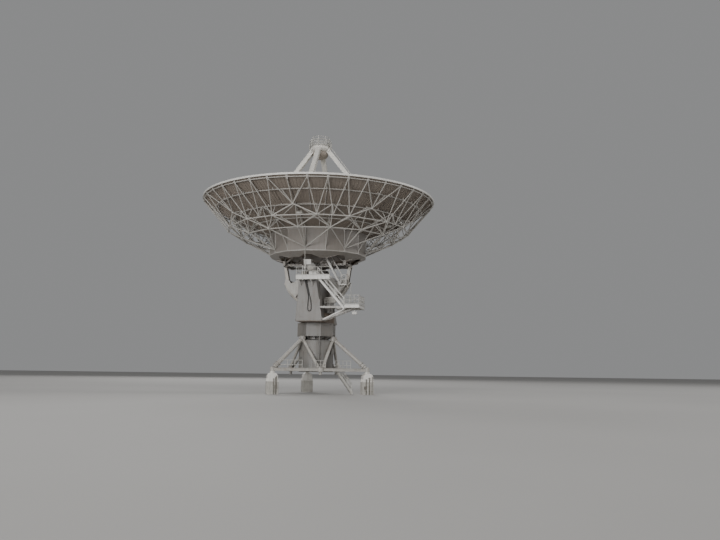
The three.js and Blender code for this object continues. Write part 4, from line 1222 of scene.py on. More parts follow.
                under.bar((e * 3.35, s * 1.5, SKIRT_LOW - 0.1), (e * 4.1, s * 1.66, SKIRT_LOW + 0.1), 0.1, 0.1)
                foot = [*sorted((e * 3.15, e * 3.45)), *sorted((s * 1.25, s * 1.7))]
                under.box(*foot, FRAME_LOW, FRAME_LOW + 0.03).box(*foot, SKIRT_LOW - 0.03, SKIRT_LOW - 0.001)
                for t in (1.32, 1.66):
                    under.box(
                        foot[0] + 0.03,
                        foot[1] - 0.03,
                        *sorted((s * (t - 0.015), s * (t + 0.015))),
                        FRAME_LOW,
                        SKIRT_LOW - 0.01,
                    )
                under.bar((e * 3.5, s * 1.2, FRAME_UP - 0.1), (e * 2.3, s * 1.3, HUB_LOW), 0.12, 0.15)
        piece("frame_below_hub", under.mesh("under"), paint, "dish", "paint", ["hub_frame"], smooth=25)

        shaft = Shape().lathe(
            [(0, -3.25), (0.27, -3.25), (0.28, -3.24), (0.28, 3.24), (0.27, 3.25), (0, 3.25)],
            64,
            centre=(0, 0, AXIS_Z),
            axis="y",
        )
        for s in (-1, 1):
            lo, hi = sorted((s * 3.25, s * 3.28))
            shaft.lathe([(0, lo), (0.19, lo), (0.19, hi), (0, hi)], 32, centre=(0, 0, AXIS_Z), axis="y")
        piece("tilt_axle", outward(shaft.mesh("shaft")), finish_of("gear_steel"), "dish", "paint", ["tilt_shaft"])

        stair = Shape()
        top, low = Vector((1.19, -1.65, HUB_LOW - 0.01)), Vector((2.87, -1.65, 11.34))
        for side in (-0.22, 0.22):
            off = Vector((0, side, 0))
            stair.bar(top + off, low + off, 0.04, 0.18)
            up = Vector((0.25, 0, 0.86))
            stair.tube(top.lerp(low, 0.04) + off + up * 0.75, low + off + up, 0.03, 8)
            for t in (0.08, 0.36, 0.64, 0.97):
                p = top.lerp(low, t) + off
                stair.tube(p, p + up * (0.75 + 0.25 * t), 0.02, 8)
        for i in range(1, 13):
            p = top.lerp(low, i / 13)
            stair.tube(p + Vector((0, -0.22, 0)), p + Vector((0, 0.22, 0)), 0.018, 8)
        stair.box(2.74, 3.5, -1.9, -1.4, 11.26, 11.36)
        for i in range(15):
            stair.box(2.76 + 0.05 * i, 2.765 + 0.05 * i, -1.9, -1.4, 11.36, 11.375)
        stair.railing([(2.95, -1.88, 11.36), (3.48, -1.88, 11.36), (3.48, -1.42, 11.36)], (0.5, 0.97), 0.55, 0.028, 0)
        piece(
            "access_ladder_rungs",
            stair.mesh("ladder"),
            finish_of("bright_white"),
            "dish",
            "galvanised",
            ["access_ladder"],
        )
        return {"FINISHED"}


def grating(x0, x1, y0, y1, top, material):
    """A walkway grid between two corners, its bars along X."""
    bar = Shape().box(x0, x1, y0, y0 + 0.006, top - 0.03, top)
    rod = Shape().box(x0, x0 + 0.008, y0, y1, top - 0.012, top - 0.002)
    across, along = round((y1 - y0) / 0.045), round((x1 - x0) / 0.1)
    bars = grown("row", bar.mesh("bar"), material, Count=across + 1, Step=(0, (y1 - y0 - 0.006) / across, 0))
    rods = grown("row", rod.mesh("rod"), material, Count=along + 1, Step=((x1 - x0 - 0.008) / along, 0, 0))
    return merged(bars, rods)


def arm_edge(z, side):
    """Where the left (-1) or right (1) edge of a yoke arm is at height z."""
    k, t = (side > 0), (z - YOKE_Z) / (ARM_TOP - YOKE_Z)
    return ARM_FOOT[k] + (ARM_HEAD[k] - ARM_FOOT[k]) * t


def stair(top, low, width, treads, rail, material):
    """A steep open stair that runs along X, with its treads in a row."""
    top, low = Vector(top), Vector(low)
    shape = Shape()
    for side in (-1, 1):
        off = Vector((0, side * width / 2, 0))
        shape.bar(top + off, low + off, 0.014, 0.2)
        for h in (-0.095, 0.095):
            lift = rise(h / math.cos(math.atan2(top.z - low.z, low.x - top.x)))
            shape.bar(
                top + off - Vector((0, side * 0.03, 0)) + lift,
                low + off - Vector((0, side * 0.03, 0)) + lift,
                0.06,
                0.012,
            )
        for h in (rail / 2, rail):
            up = rise(h)
            shape.tube(top + off + up, low + off + up, 0.03, 10)
        for t in (0.03, 0.34, 0.66, 0.97):
            p = top.lerp(low, t) + off
            shape.tube(p, p + rise(rail), 0.028, 10)
    step = (low - top) / (treads + 1)
    first = top + step
    tread = Shape().box(
        first.x - 0.13, first.x + 0.12, first.y - width / 2, first.y + width / 2, first.z - 0.004, first.z + 0.004
    )
    for dx in (-0.126, 0.114):
        tread.box(
            first.x + dx, first.x + dx + 0.006, first.y - width / 2, first.y + width / 2, first.z - 0.035, first.z
        )
    for i in range(6):
        x = first.x - 0.1 + 0.04 * i
        tread.box(x, x + 0.008, first.y - width / 2 + 0.02, first.y + width / 2 - 0.02, first.z, first.z + 0.006)
    steps = grown("row", tread.mesh("tread"), material, Count=treads, Step=tuple(step))
    return merged(shape.mesh("stair"), steps)


class TELESCOPE_OT_cable(bpy.types.Operator):
    """Builds the cable that hangs in a loop from the near platform"""

    bl_idname = "telescope.cable"
    bl_label = "Hanging cable"

    def execute(self, context):
        y, top = -(ARM_OUT + CABLE_R + 0.03), DECK_TOP - 0.1003
        down = [(-0.47, top), (-0.4, 11.4), (-0.2, 10.6), (-0.058, 10.0), (-0.08, 9.4), (-0.103, 8.9)]
        up = [(0.253, 8.9), (0.21, 9.4), (0.072, 10.0), (-0.07, 10.6), (-0.272, 11.4), (-0.34, top)]
        turn = [math.radians(a) for a in range(180, 361, 30)]
        loop = [(0.075 + CABLE_LOOP_R * math.cos(a), 8.62 + CABLE_LOOP_R * math.sin(a)) for a in turn]
        knots = [Vector((x, y, z)) for x, z in down + loop + up]
        path = []
        ends = [2 * knots[0] - knots[1], *knots, 2 * knots[-1] - knots[-2]]
        for i in range(1, len(ends) - 2):
            p0, p1, p2, p3 = ends[i - 1 : i + 3]
            t0, t1 = 0.0, (p1 - p0).length ** 0.5
            t2 = t1 + (p2 - p1).length ** 0.5
            t3 = t2 + (p3 - p2).length ** 0.5
            for k in range(4):
                t = t1 + (t2 - t1) * k / 4
                a1 = p0 * (t1 - t) / (t1 - t0) + p1 * (t - t0) / (t1 - t0)
                a2 = p1 * (t2 - t) / (t2 - t1) + p2 * (t - t1) / (t2 - t1)
                a3 = p2 * (t3 - t) / (t3 - t2) + p3 * (t - t2) / (t3 - t2)
                b1 = a1 * (t2 - t) / (t2 - t0) + a2 * (t - t0) / (t2 - t0)
                b2 = a2 * (t3 - t) / (t3 - t1) + a3 * (t - t1) / (t3 - t1)
                path.append(b1 * (t2 - t) / (t2 - t1) + b2 * (t - t1) / (t2 - t1))
        path.append(knots[-1])
        path = [TURN @ p for p in path]
        curve = bpy.data.curves.new("hanging_cable", "CURVE")
        curve.dimensions = "3D"
        spline = curve.splines.new("POLY")
        spline.points.add(len(path) - 1)
        for point, p in zip(spline.points, path):
            point.co = (*p, 1)
        curve.bevel_depth = CABLE_R
        curve.bevel_resolution = 4
        curve.materials.append(finish_of("cable_rubber"))
        cable = bpy.data.objects.new("hanging_cable", curve)
        bpy.context.scene.collection.objects.link(cable)
        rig.replaces(cable, "cable_loop")
        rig.slot(cable, "cable")
        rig.ride(cable, "yoke")
        length = sum((b - a).length for a, b in zip(path, path[1:]))
        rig.cord(cable, path[0], length, 2 * CABLE_R, "object", "limp", "hanging")
        return {"FINISHED"}


class TELESCOPE_OT_arms(bpy.types.Operator):
    """Builds the base and the two arms of the yoke"""

    bl_idname = "telescope.arms"
    bl_label = "Yoke base and arms"

    def execute(self, context):
        paint = finish_of("yoke_paint")
        z0, r = HOUSING[1] + 0.001, HOUSING[2] - 0.12
        ring = Shape().lathe([(0, z0), (r, z0), (r, YOKE_Z - 0.06), (0, YOKE_Z - 0.06)], 96)
        ring.box(ARM_FOOT[0] + 0.02, ARM_FOOT[1] - 0.02, -ARM_OUT + 0.03, ARM_OUT - 0.03, YOKE_Z - 0.06, YOKE_Z - 0.001)
        for deg in range(0, 360, 15):
            ring.bar(polar(deg, r - 0.2, z0 + 0.03), polar(deg, r + 0.06, z0 + 0.03), 0.02, 0.055)
        # The turning ring takes the dark brown as painted shade in the gap below the yoke base
        piece("turning_ring", ring.mesh("ring"), finish_of("primer_brown"), "yoke", "paint", smooth=25)
        base = Shape().box(ARM_FOOT[0], ARM_FOOT[1], -ARM_IN, ARM_IN, YOKE_Z - 0.02, YOKE_BASE_TOP - 0.04)
        base.box(ARM_FOOT[0] - 0.03, ARM_FOOT[1] + 0.03, -ARM_IN, ARM_IN, YOKE_BASE_TOP - 0.04, YOKE_BASE_TOP)
        for s, x in ((-1, ARM_FOOT[0]), (1, ARM_FOOT[1])):
            for i in range(7):
                y = -1.8 + 0.6 * i
                lo, hi = sorted((x, x + s * 0.035))
                base.box(lo, hi, y - 0.012, y + 0.012, YOKE_Z, YOKE_BASE_TOP - 0.04)
        spots = []
        for s in (-1, 1):
            spots += [((x, s * y, YOKE_BASE_TOP), (0, 0, 1)) for x in (-1.25, 1.28) for y in (0.4, 1.0, 1.6)]
        heads = bolts(spots, settings().bolt_size, paint)
        mesh = merged(base.mesh("base"), heads)
        # The yoke base box takes the dark brown as painted shade on its side faces below the platforms
        piece("yoke_base_box", mesh, finish_of("primer_brown"), "yoke", "paint", ["yoke_base"], smooth=25)
        for side, name in ((-1, "near"), (1, "far")):
            y0, y1 = sorted((side * ARM_IN, side * ARM_OUT))
            arm = Shape()
            outline = [(arm_edge(z, s), z) for s, z in ((-1, YOKE_Z), (1, YOKE_Z), (1, ARM_TOP), (-1, ARM_TOP))]
            arm.prism(outline, y0, y1, "y")
            for face in (-1, 1):
                y = (y0 + y1) / 2 + face * (y1 - y0) / 2
                lo, hi = sorted((y, y + face * 0.012))
                for z in ARM_BANDS:
                    arm.box(arm_edge(z, -1), arm_edge(z, 1), lo, hi, z - 0.018, z + 0.018)
                for s in (-1, 1):
                    a = Vector((arm_edge(YOKE_Z, s) - s * 0.03, y + face * 0.005, YOKE_Z))
                    b = Vector((arm_edge(ARM_TOP, s) - s * 0.03, y + face * 0.005, ARM_TOP))
                    arm.bar(a, b, 0.014, 0.06, up=(1, 0, 0))
                arm.box(ARM_FOOT[0], ARM_FOOT[1], lo, hi, YOKE_Z, YOKE_Z + 0.12)
                arm.box(ARM_HEAD[0], ARM_HEAD[1], lo, hi, ARM_TOP - 0.06, ARM_TOP)
            for s in (-1, 1):
                for z in ARM_BANDS:
                    x = arm_edge(z, s)
                    arm.box(*sorted((x - s * 0.01, x + s * 0.012)), y0, y1, z - 0.018, z + 0.018)
            outer = side * ARM_OUT
            frames = (
                (0.95, 9.3, 0.42, 0.7), (-0.95, 8.1, 0.5, 0.5)
            ) if side < 0 else ((0.0, 9.3, 0.7, 1.1), (0.0, 10.75, 0.6, 0.5))
            spots = []
            for x, z, w, h in frames:
                lo, hi = sorted((outer, outer + side * 0.02))
                arm.box(x - w / 2, x + w / 2, lo, hi, z - h / 2, z + h / 2)
                edge = [
                    (x + u * (w / 2 - 0.04), z + v * (h / 2 - 0.04))
                    for u in (-1, 0, 1)
                    for v in (-1, -0.33, 0.33, 1) if u or abs(v) == 1
                ]
                spots += [((px, outer + side * 0.02, pz), (0, side, 0)) for px, pz in edge]
            spots += [((-1.3 + 0.26 * i, outer + side * 0.012, YOKE_Z + 0.06), (0, side, 0)) for i in range(11)]
            spots += [
                ((s * x, y, ARM_TOP), (0, 0, 1)) for s, x in ((-1, 0.95), (1, 0.5)) for y in (side * 2.2, side * 3.3)
            ]
            heads = bolts(spots, 0.022, paint)
            mesh = merged(outward(arm.mesh("arm")), heads)
            piece("yoke_arm_box_" + name, mesh, paint, "yoke", "paint", ["yoke_arm_" + name], smooth=25)
        return {"FINISHED"}


class TELESCOPE_OT_bearings(bpy.types.Operator):
    """Builds the two bearings of the tilting axle"""

    bl_idname = "telescope.bearings"
    bl_label = "Tilting bearings"

    def execute(self, context):
        paint = finish_of("yoke_paint")
        for side, name in ((-1, "near"), (1, "far")):
            y0, y1 = sorted((side * 2.35, side * 3.15))
            centre = (0, 0, AXIS_Z)
            block = Shape().box(-0.64, 0.58, y0, y1, ARM_TOP + 0.001, ARM_TOP + 0.09)
            profile = [(0.289, y0), (0.57, y0), (0.6, y0 + 0.03), (0.6, y1 - 0.03), (0.57, y1), (0.289, y1)]
            block.lathe(profile, 64, centre=centre, axis="y")
            for y in (y0 + 0.12, y1 - 0.12):
                block.lathe(
                    [(0.55, y - 0.04), (0.62, y - 0.04), (0.62, y + 0.04), (0.55, y + 0.04)],
                    64,
                    centre=centre,
                    axis="y",
                )
            for s, w in ((-1, 0.64), (1, 0.58)):
                for y in (y0 + 0.06, (y0 + y1) / 2, y1 - 0.06):
                    web = [
                        (s * w, ARM_TOP + 0.09),
                        (s * 0.3, ARM_TOP + 0.09),
                        (s * 0.3, AXIS_Z),
                        (s * 0.6, AXIS_Z),
                        (s * w, AXIS_Z - 0.25),
                    ]
                    block.prism(web, y - 0.02, y + 0.02, "y")
                lo, hi = sorted((s * 0.5, s * (w + 0.02)))
                block.box(lo, hi, y0 + 0.04, y1 - 0.04, AXIS_Z - 0.05, AXIS_Z + 0.05)
            block.box(-0.6, 0.54, y0 + 0.1, y1 - 0.1, ARM_TOP + 0.05, AXIS_Z - 0.3)
            spots = bolt_circle((0, y0, AXIS_Z), (0, -1, 0), 0.47, 16)
            spots += bolt_circle((0, y1, AXIS_Z), (0, 1, 0), 0.47, 16)
            spots += [((x, y, ARM_TOP + 0.09), (0, 0, 1)) for x in (-0.59, 0.53) for y in (y0 + 0.2, y1 - 0.2)]
            heads = bolts(spots, 0.032, paint)
            mesh = merged(outward(block.mesh("block")), heads)
            piece("bearing_block_" + name, mesh, paint, "yoke", "paint", ["tilt_bearing_" + name], smooth=25)
        box = Shape().box(-0.69, 0.06, -3.22, -2.62, 13.3, 13.78).box(-0.62, 0, -3.12, -2.7, 13.25, 13.32)
        box.box(-0.74, 0.11, -3.27, -2.57, 13.78, 13.81)
        box.box(-0.6, -0.3, -2.95, -2.8, 12.95, 13.25)
        box.tube(
            (-0.45, -3.0, 13.6), (-0.45, -3.3, 13.6), 0.035, 12
        ).tube((-0.45, -3.3, 13.6), (-0.45, -3.3, 12.0), 0.03, 12)
        piece("angle_sensor_box", box.mesh("box"), finish_of("bright_white"), "yoke", "paint", smooth=25)
        return {"FINISHED"}


class TELESCOPE_OT_platforms(bpy.types.Operator):
    """Builds the walkways, railings and stair of the yoke"""

    bl_idname = "telescope.platforms"
    bl_label = "Yoke platforms"

    def execute(self, context):
        white, grey = finish_of("bright_white"), finish_of("rail_grey")
        x0, x1, x2 = -1.18, 0.95, 2.38
        for side, name in ((-1, "near"), (1, "far")):
            at = lambda d: side * (ARM_OUT + 0.001 + d)
            span = lambda a, b: sorted((at(a), at(b)))
            edge = Shape()
            for d in (0.94, 0.0):
                lo, hi = span(d, d + 0.014)
                edge.box(x0, x2, lo, hi, DECK_TOP - (0.4 if d else 0.24), DECK_TOP + 0.02)
                for z in (DECK_TOP - (0.4 if d else 0.24), DECK_TOP + 0.006):
                    edge.box(x0, x2, *span(d, d + 0.06), z, z + 0.014)
            edge.box(x0, x0 + 0.014, *span(0, 1.0), DECK_TOP - 0.4, DECK_TOP + 0.02)
            edge.box(x0, x0 + 0.06, *span(0, 1.0), DECK_TOP - 0.4, DECK_TOP - 0.386)
            edge.box(x2 - 0.014, x2, *span(0.94, 1.0), DECK_TOP - 0.4, DECK_TOP + 0.02)
            for i in range(6):
                x = x0 + 0.02 + i * 0.42
                edge.box(x, x + 0.012, *span(0.01, 0.95), DECK_TOP - 0.13, DECK_TOP - 0.035)
            for x in (-0.9, 0.35):
                edge.bar((x, at(0.0), DECK_TOP - 0.95), (x, at(0.93), DECK_TOP - 0.3), 0.07, 0.07)
            for i in range(9):
                x = x0 + 0.3 + 0.4 * i
                edge.box(x, x + 0.01, *span(0.945, 0.995), DECK_TOP - 0.39, DECK_TOP)
            piece(
                "platform_edge_" + name, edge.mesh("edge"), white, "yoke", "paint", ["upper_platform_" + name], smooth=0
            )
            lo, hi = span(0.02, 0.93)
            deck = grating(x0 + 0.02, x1, lo, hi, DECK_TOP, grey)
            if side > 0:
                deck = merged(deck, grating(x1, x2 - 0.02, lo, hi, DECK_TOP, grey))
            rails = Shape()
            line = [(x0 + 0.04, at(0.04), DECK_TOP), (x0 + 0.04, at(0.96), DECK_TOP), (x2 - 0.04, at(0.96), DECK_TOP)]
            if side > 0:
                line.append((x2 - 0.04, at(0.04), DECK_TOP))
            rails.railing(line, (0.45, 0.868), 0.82)
            mesh = merged(deck, rails.mesh("rails"))
            piece("platform_rails_" + name, mesh, grey, "yoke", "galvanised", smooth=25)
        extra = Shape()
        y = -(ARM_OUT + 0.97)
        extra.tube((-0.49, y, DECK_TOP - 0.5), (-0.49, y, DECK_TOP + 1.02), 0.034, 12)
        extra.box(0.12, 0.92, y + 0.25, y + 0.72, DECK_TOP + 0.1, DECK_TOP + 0.48)
        for x in (0.2, 0.84):
            extra.box(x - 0.02, x + 0.02, y + 0.28, y + 0.68, DECK_TOP, DECK_TOP + 0.1)
        extra.box(0.1, 0.94, y + 0.23, y + 0.74, DECK_TOP + 0.47, DECK_TOP + 0.49)
        extra.box(4.47, 4.95, -3.2, -2.8, 8.1, 8.38).box(4.68, 4.74, -3.03, -2.97, 8.38, 8.8)
        piece("platform_boxes", extra.mesh("extra"), white, "yoke", "paint", smooth=25)
        motor = Shape().box(-0.66, -0.12, y + 0.22, y + 0.7, DECK_TOP + 0.08, DECK_TOP + 0.5)
        motor.box(-0.62, -0.16, y + 0.26, y + 0.66, DECK_TOP, DECK_TOP + 0.08).tube(
            (-0.39, y + 0.16, DECK_TOP + 0.3), (-0.39, y + 0.76, DECK_TOP + 0.3), 0.13, 20
        )
        piece("platform_motor", motor.mesh("motor"), finish_of("conduit_grey"), "yoke", "paint", smooth=25)

        z = LOW_DECK
        parts = [grating(arm_edge(z, 1) + 0.01, 2.9, -3.34, -2.01, z, grey), grating(3.94, 5.44, -4.39, -1.41, z, grey)]
        parts.append(grating(2.9, 3.93, -3.52, -1.41, z, grey))
        parts.append(grating(2.46, 2.9, -2.0, -1.41, z, grey))
        beams, under = Shape(), Shape()
        for a, b in (
            ((3.92, -4.37), (5.45, -4.37)),
            ((5.42, -4.4), (5.42, -1.4)),
            ((5.45, -1.43), (2.45, -1.43)),
            ((3.93, -3.5), (3.93, -4.4)),
        ):
            p, q = Vector((*a, z - 0.14)), Vector((*b, z - 0.14))
            beams.bar(p, q, 0.016, 0.3)
            for h in (-0.14, 0.142):
                beams.bar(p + rise(h), q + rise(h), 0.06, 0.014)
        for x in (1.5, 2.05, 2.6, 3.45, 3.95, 4.45, 4.95):
            lo, hi = (-3.33 if x < 2.9 else -3.5 if x < 3.9 else -4.36), (-2.02 if x < 2.9 else -1.44)
            under.box(x - 0.025, x + 0.025, lo, hi, z - 0.14, z - 0.032)
        for lo in (-3.34, -2.03):
            under.box(arm_edge(z, 1), 2.93, lo, lo + 0.015, z - 0.2, z)
        under.box(2.9, 3.93, -3.52, -3.505, z - 0.3, z)
        for y, shape in ((-3.2, beams), (-2.3, under)):
            shape.bar((1.4, y, 7.55), (3.9, y, z - 0.2), 0.09, 0.12)
            under.bar((1.4, y + 0.1, 7.5), (4.9, y + 0.1, z - 0.12), 0.08, 0.1)
            under.box(1.3, 1.46, y - 0.12, y + 0.2, 7.46, 7.75)
        piece("low_platform_under", under.mesh("under"), finish_of("stand_paint"), "yoke", "paint", smooth=0)
        piece("low_platform_beams", beams.mesh("beams"), white, "yoke", "paint", ["drive_platform"], smooth=0)
        rails = Shape()
        rails.railing([(3.95, -4.35, z), (5.4, -4.35, z), (5.4, -1.45, z), (2.6, -1.45, z)], (0.5, 0.97), 0.5)
        rails.railing([(1.35, -2.04, z), (2.41, -2.04, z)], (0.5, 0.97), 0.6)
        rails.tube((3.95, -1.38, z - 0.1), (3.95, -1.38, 11.42), 0.028, 10)
        mesh = merged(*parts, rails.mesh("rails"))
        piece("low_platform_rails", mesh, grey, "yoke", "galvanised", smooth=25)
        flight = stair((0.98, -3.9, DECK_TOP - 0.08), (3.86, -3.9, 8.62), 0.6, 14, 0.98, white)
        piece("yoke_stair_flight", flight, white, "yoke", "paint", ["yoke_stair"], smooth=25)
        return {"FINISHED"}


class TELESCOPE_OT_drive(bpy.types.Operator):
    """Builds the pinion, motor and gearbox that turn the gear sector"""

    bl_idname = "telescope.drive"
    bl_label = "Drive unit"

    def execute(self, context):
        r = GEAR_R + 0.215
        x, z = r * cos_deg(293), AXIS_Z + r * sin_deg(293)
        steel = finish_of("gear_steel")
        pinion = Shape().tube((x, -1.05, z), (x, 0.62, z), 0.07, 24).tube((x, -0.3, z), (x, 0.3, z), 0.14, 24)
        for i in range(14):
            t = 2 * math.pi * i / 14
            p = [(0.13, -0.16), (0.183, -0.07), (0.183, 0.07), (0.13, 0.16)]
            pinion.prism([(x + a * math.cos(t + b), z + a * math.sin(t + b)) for a, b in p], -0.29, 0.29, "y")
        piece("pinion", outward(pinion.mesh("pinion")), steel, "yoke", "paint")
        top = YOKE_BASE_TOP + 0.001
        drive = Shape().box(x - 0.26, ARM_FOOT[1] + 0.46, -0.7, 0.7, top, top + 0.05)
        for s in (-1, 1):
            lo, hi = sorted((s * 0.33, s * 0.61))
            side = [
                (x - 0.2, top + 0.05),
                (x + 0.26, top + 0.05),
                (x + 0.2, z),
                (x + 0.14, z + 0.12),
                (x - 0.14, z + 0.12),
                (x - 0.19, z),
            ]
            drive.prism(side, lo, hi, "y")
            drive.lathe(
                [(0.07, lo - 0.02), (0.15, lo - 0.02), (0.15, hi + 0.02), (0.07, hi + 0.02)],
                32,
                centre=(x, 0, z),
                axis="y",
            )
        drive.box(x - 0.19, x + 0.22, -1.0, -0.68, top, z + 0.17)
        body = [(0, -1.7), (0.1, -1.7), (0.13, -1.67), (0.13, -1.02), (0.17, -1.02), (0.17, -0.98), (0, -0.98)]
        drive.lathe(body, 32, centre=(x, 0, z), axis="y")
        for i in range(20):
            t = 18 * i
            out = Vector((cos_deg(t), 0, sin_deg(t)))
            a, b = Vector((x, -1.62, z)) + out * 0.14, Vector((x, -1.08, z)) + out * 0.14
            drive.bar(a, b, 0.012 if abs(out.z) > 0.7 else 0.03, 0.03 if abs(out.z) > 0.7 else 0.012)
        drive.box(x - 0.07, x + 0.07, -1.45, -1.2, z + 0.12, z + 0.26)
        drive.box(x - 0.1, x + 0.1, -1.6, -1.05, top - 0.001, z - 0.12)
        piece(
            "drive_unit_parts",
            outward(drive.mesh("drive")),
            finish_of("yoke_paint"),
            "yoke",
            "paint",
            ["drive_unit"],
            smooth=25,
        )
        return {"FINISHED"}


def foot_at(name):
    deg = math.radians(FEET[name])
    return Vector((FOOT_R * math.cos(deg), FOOT_R * math.sin(deg), 0))


class TELESCOPE_OT_piers(bpy.types.Operator):
    """Builds the three concrete piers and the steel feet on them"""

    bl_idname = "telescope.piers"
    bl_label = "Piers and feet"

    def execute(self, context):
        concrete, paint = finish_of("pier_concrete"), finish_of("cap_paint")
        for name in FEET:
            c = foot_at(name)
            h, cut, top = PIER[0], 0.07, PIER[1]
            ring = lambda w: [
                (c.x + sx * (w - (cut if i else 0)), c.y + sy * (w - (0 if i else cut)))
                for sx, sy, order in ((1, -1, (1, 0)), (1, 1, (0, 1)), (-1, 1, (1, 0)), (-1, -1, (0, 1)))
                for i in order
            ]
            levels = [(0.0, h), (0.16, h), (0.165, h - 0.012), (0.175, h), (top - 0.03, h), (top - 0.001, h - 0.03)]
            pier = Shape().loft(*[[(*p, z) for p in ring(w)] for z, w in levels])
            mesh = outward(pier.mesh("pier"))
            piece("pier_block_" + name, mesh, concrete, "stand", "concrete", ["pier_" + name], smooth=25)

            foot = Shape().box(c.x - 0.57, c.x + 0.57, c.y - 0.57, c.y + 0.57, top, top + 0.05)
            gable = [
                (-0.51, 1.33),
                (0.51, 1.33),
                (0.51, 1.8),
                (0.4, 2.02),
                (0.2, 2.12),
                (-0.2, 2.12),
                (-0.4, 2.02),
                (-0.51, 1.8),
            ]
            foot.prism([(c.x + x, z) for x, z in gable], c.y - 0.51, c.y + 0.51, "y")
            for s in (-1, 1):
                lip = [(c.x + x * 1.012, z + 0.008) for x, z in gable]
                foot.prism(lip, *sorted((c.y + s * 0.46, c.y + s * 0.52)), "y")
                for i in range(3):
                    x = c.x - 0.36 + 0.36 * i
                    foot.box(x - 0.012, x + 0.012, *sorted((c.y + s * 0.51, c.y + s * 0.56)), 1.33, 1.56)
                    y = c.y - 0.36 + 0.36 * i
                    foot.box(*sorted((c.x + s * 0.51, c.x + s * 0.56)), y - 0.012, y + 0.012, 1.33, 1.56)
            low = FRAME_Z - FRAME_H / 2 - 0.061
            foot.lathe(
                [(0, 2.05), (0.19, 2.05), (0.19, low - 0.07), (0.25, low - 0.07), (0.25, low), (0, low)], 48, centre=c
            )
            for i in range(8):
                p = polar(45 * i + 22.5, 0.18, 2.18)
                foot.bar(c + p, c + polar(45 * i + 22.5, 0.24, 2.18), 0.014, 0.16)
            spots = [
                ((c.x + x, c.y + y, top + 0.05), (0, 0, 1))
                for x in (-0.53, 0, 0.53)
                for y in (-0.53, 0, 0.53) if x or y
            ]
            spots += [((c.x + x, c.y + s * 0.52, 1.7), (0, s, 0)) for x in (-0.3, 0.3) for s in (-1, 1)]
            mesh = merged(foot.mesh("foot"), bolts(spots, settings().bolt_size, paint))
            piece("foot_cap_" + name, mesh, paint, "stand", "paint", ["foot_" + name], smooth=25)
        pipes = Shape()
        for name, xs in (("left", (0.08, 0.28, 0.36)), ("right", (-0.24, 0.08, 0.38))):
            c = foot_at(name)
            for i, x in enumerate(xs):
                r = (0.04, 0.05, 0.03)[i]
                front = c.y - 0.595 - r - 0.01
                head = 1.55 + 0.14 * i
                pipes.tube((c.x + x, front, 0.0), (c.x + x, front, head), r, 14)
                pipes.tube((c.x + x, front - r, head), (c.x + x, c.y - 0.5, head), r, 14)
                for z in (0.35, 0.9):
                    pipes.box(c.x + x - r - 0.03, c.x + x + r + 0.03, front - r - 0.004, c.y - 0.59, z - 0.02, z + 0.02)
            box = c.x + (0.3 if name == "left" else -0.36)
            pipes.box(box - 0.1, box + 0.1, c.y - 0.7, c.y - 0.595, 0.55, 0.85)
        piece("pier_conduits", pipes.mesh("pipes"), finish_of("conduit_grey"), "stand", "galvanised")
        return {"FINISHED"}


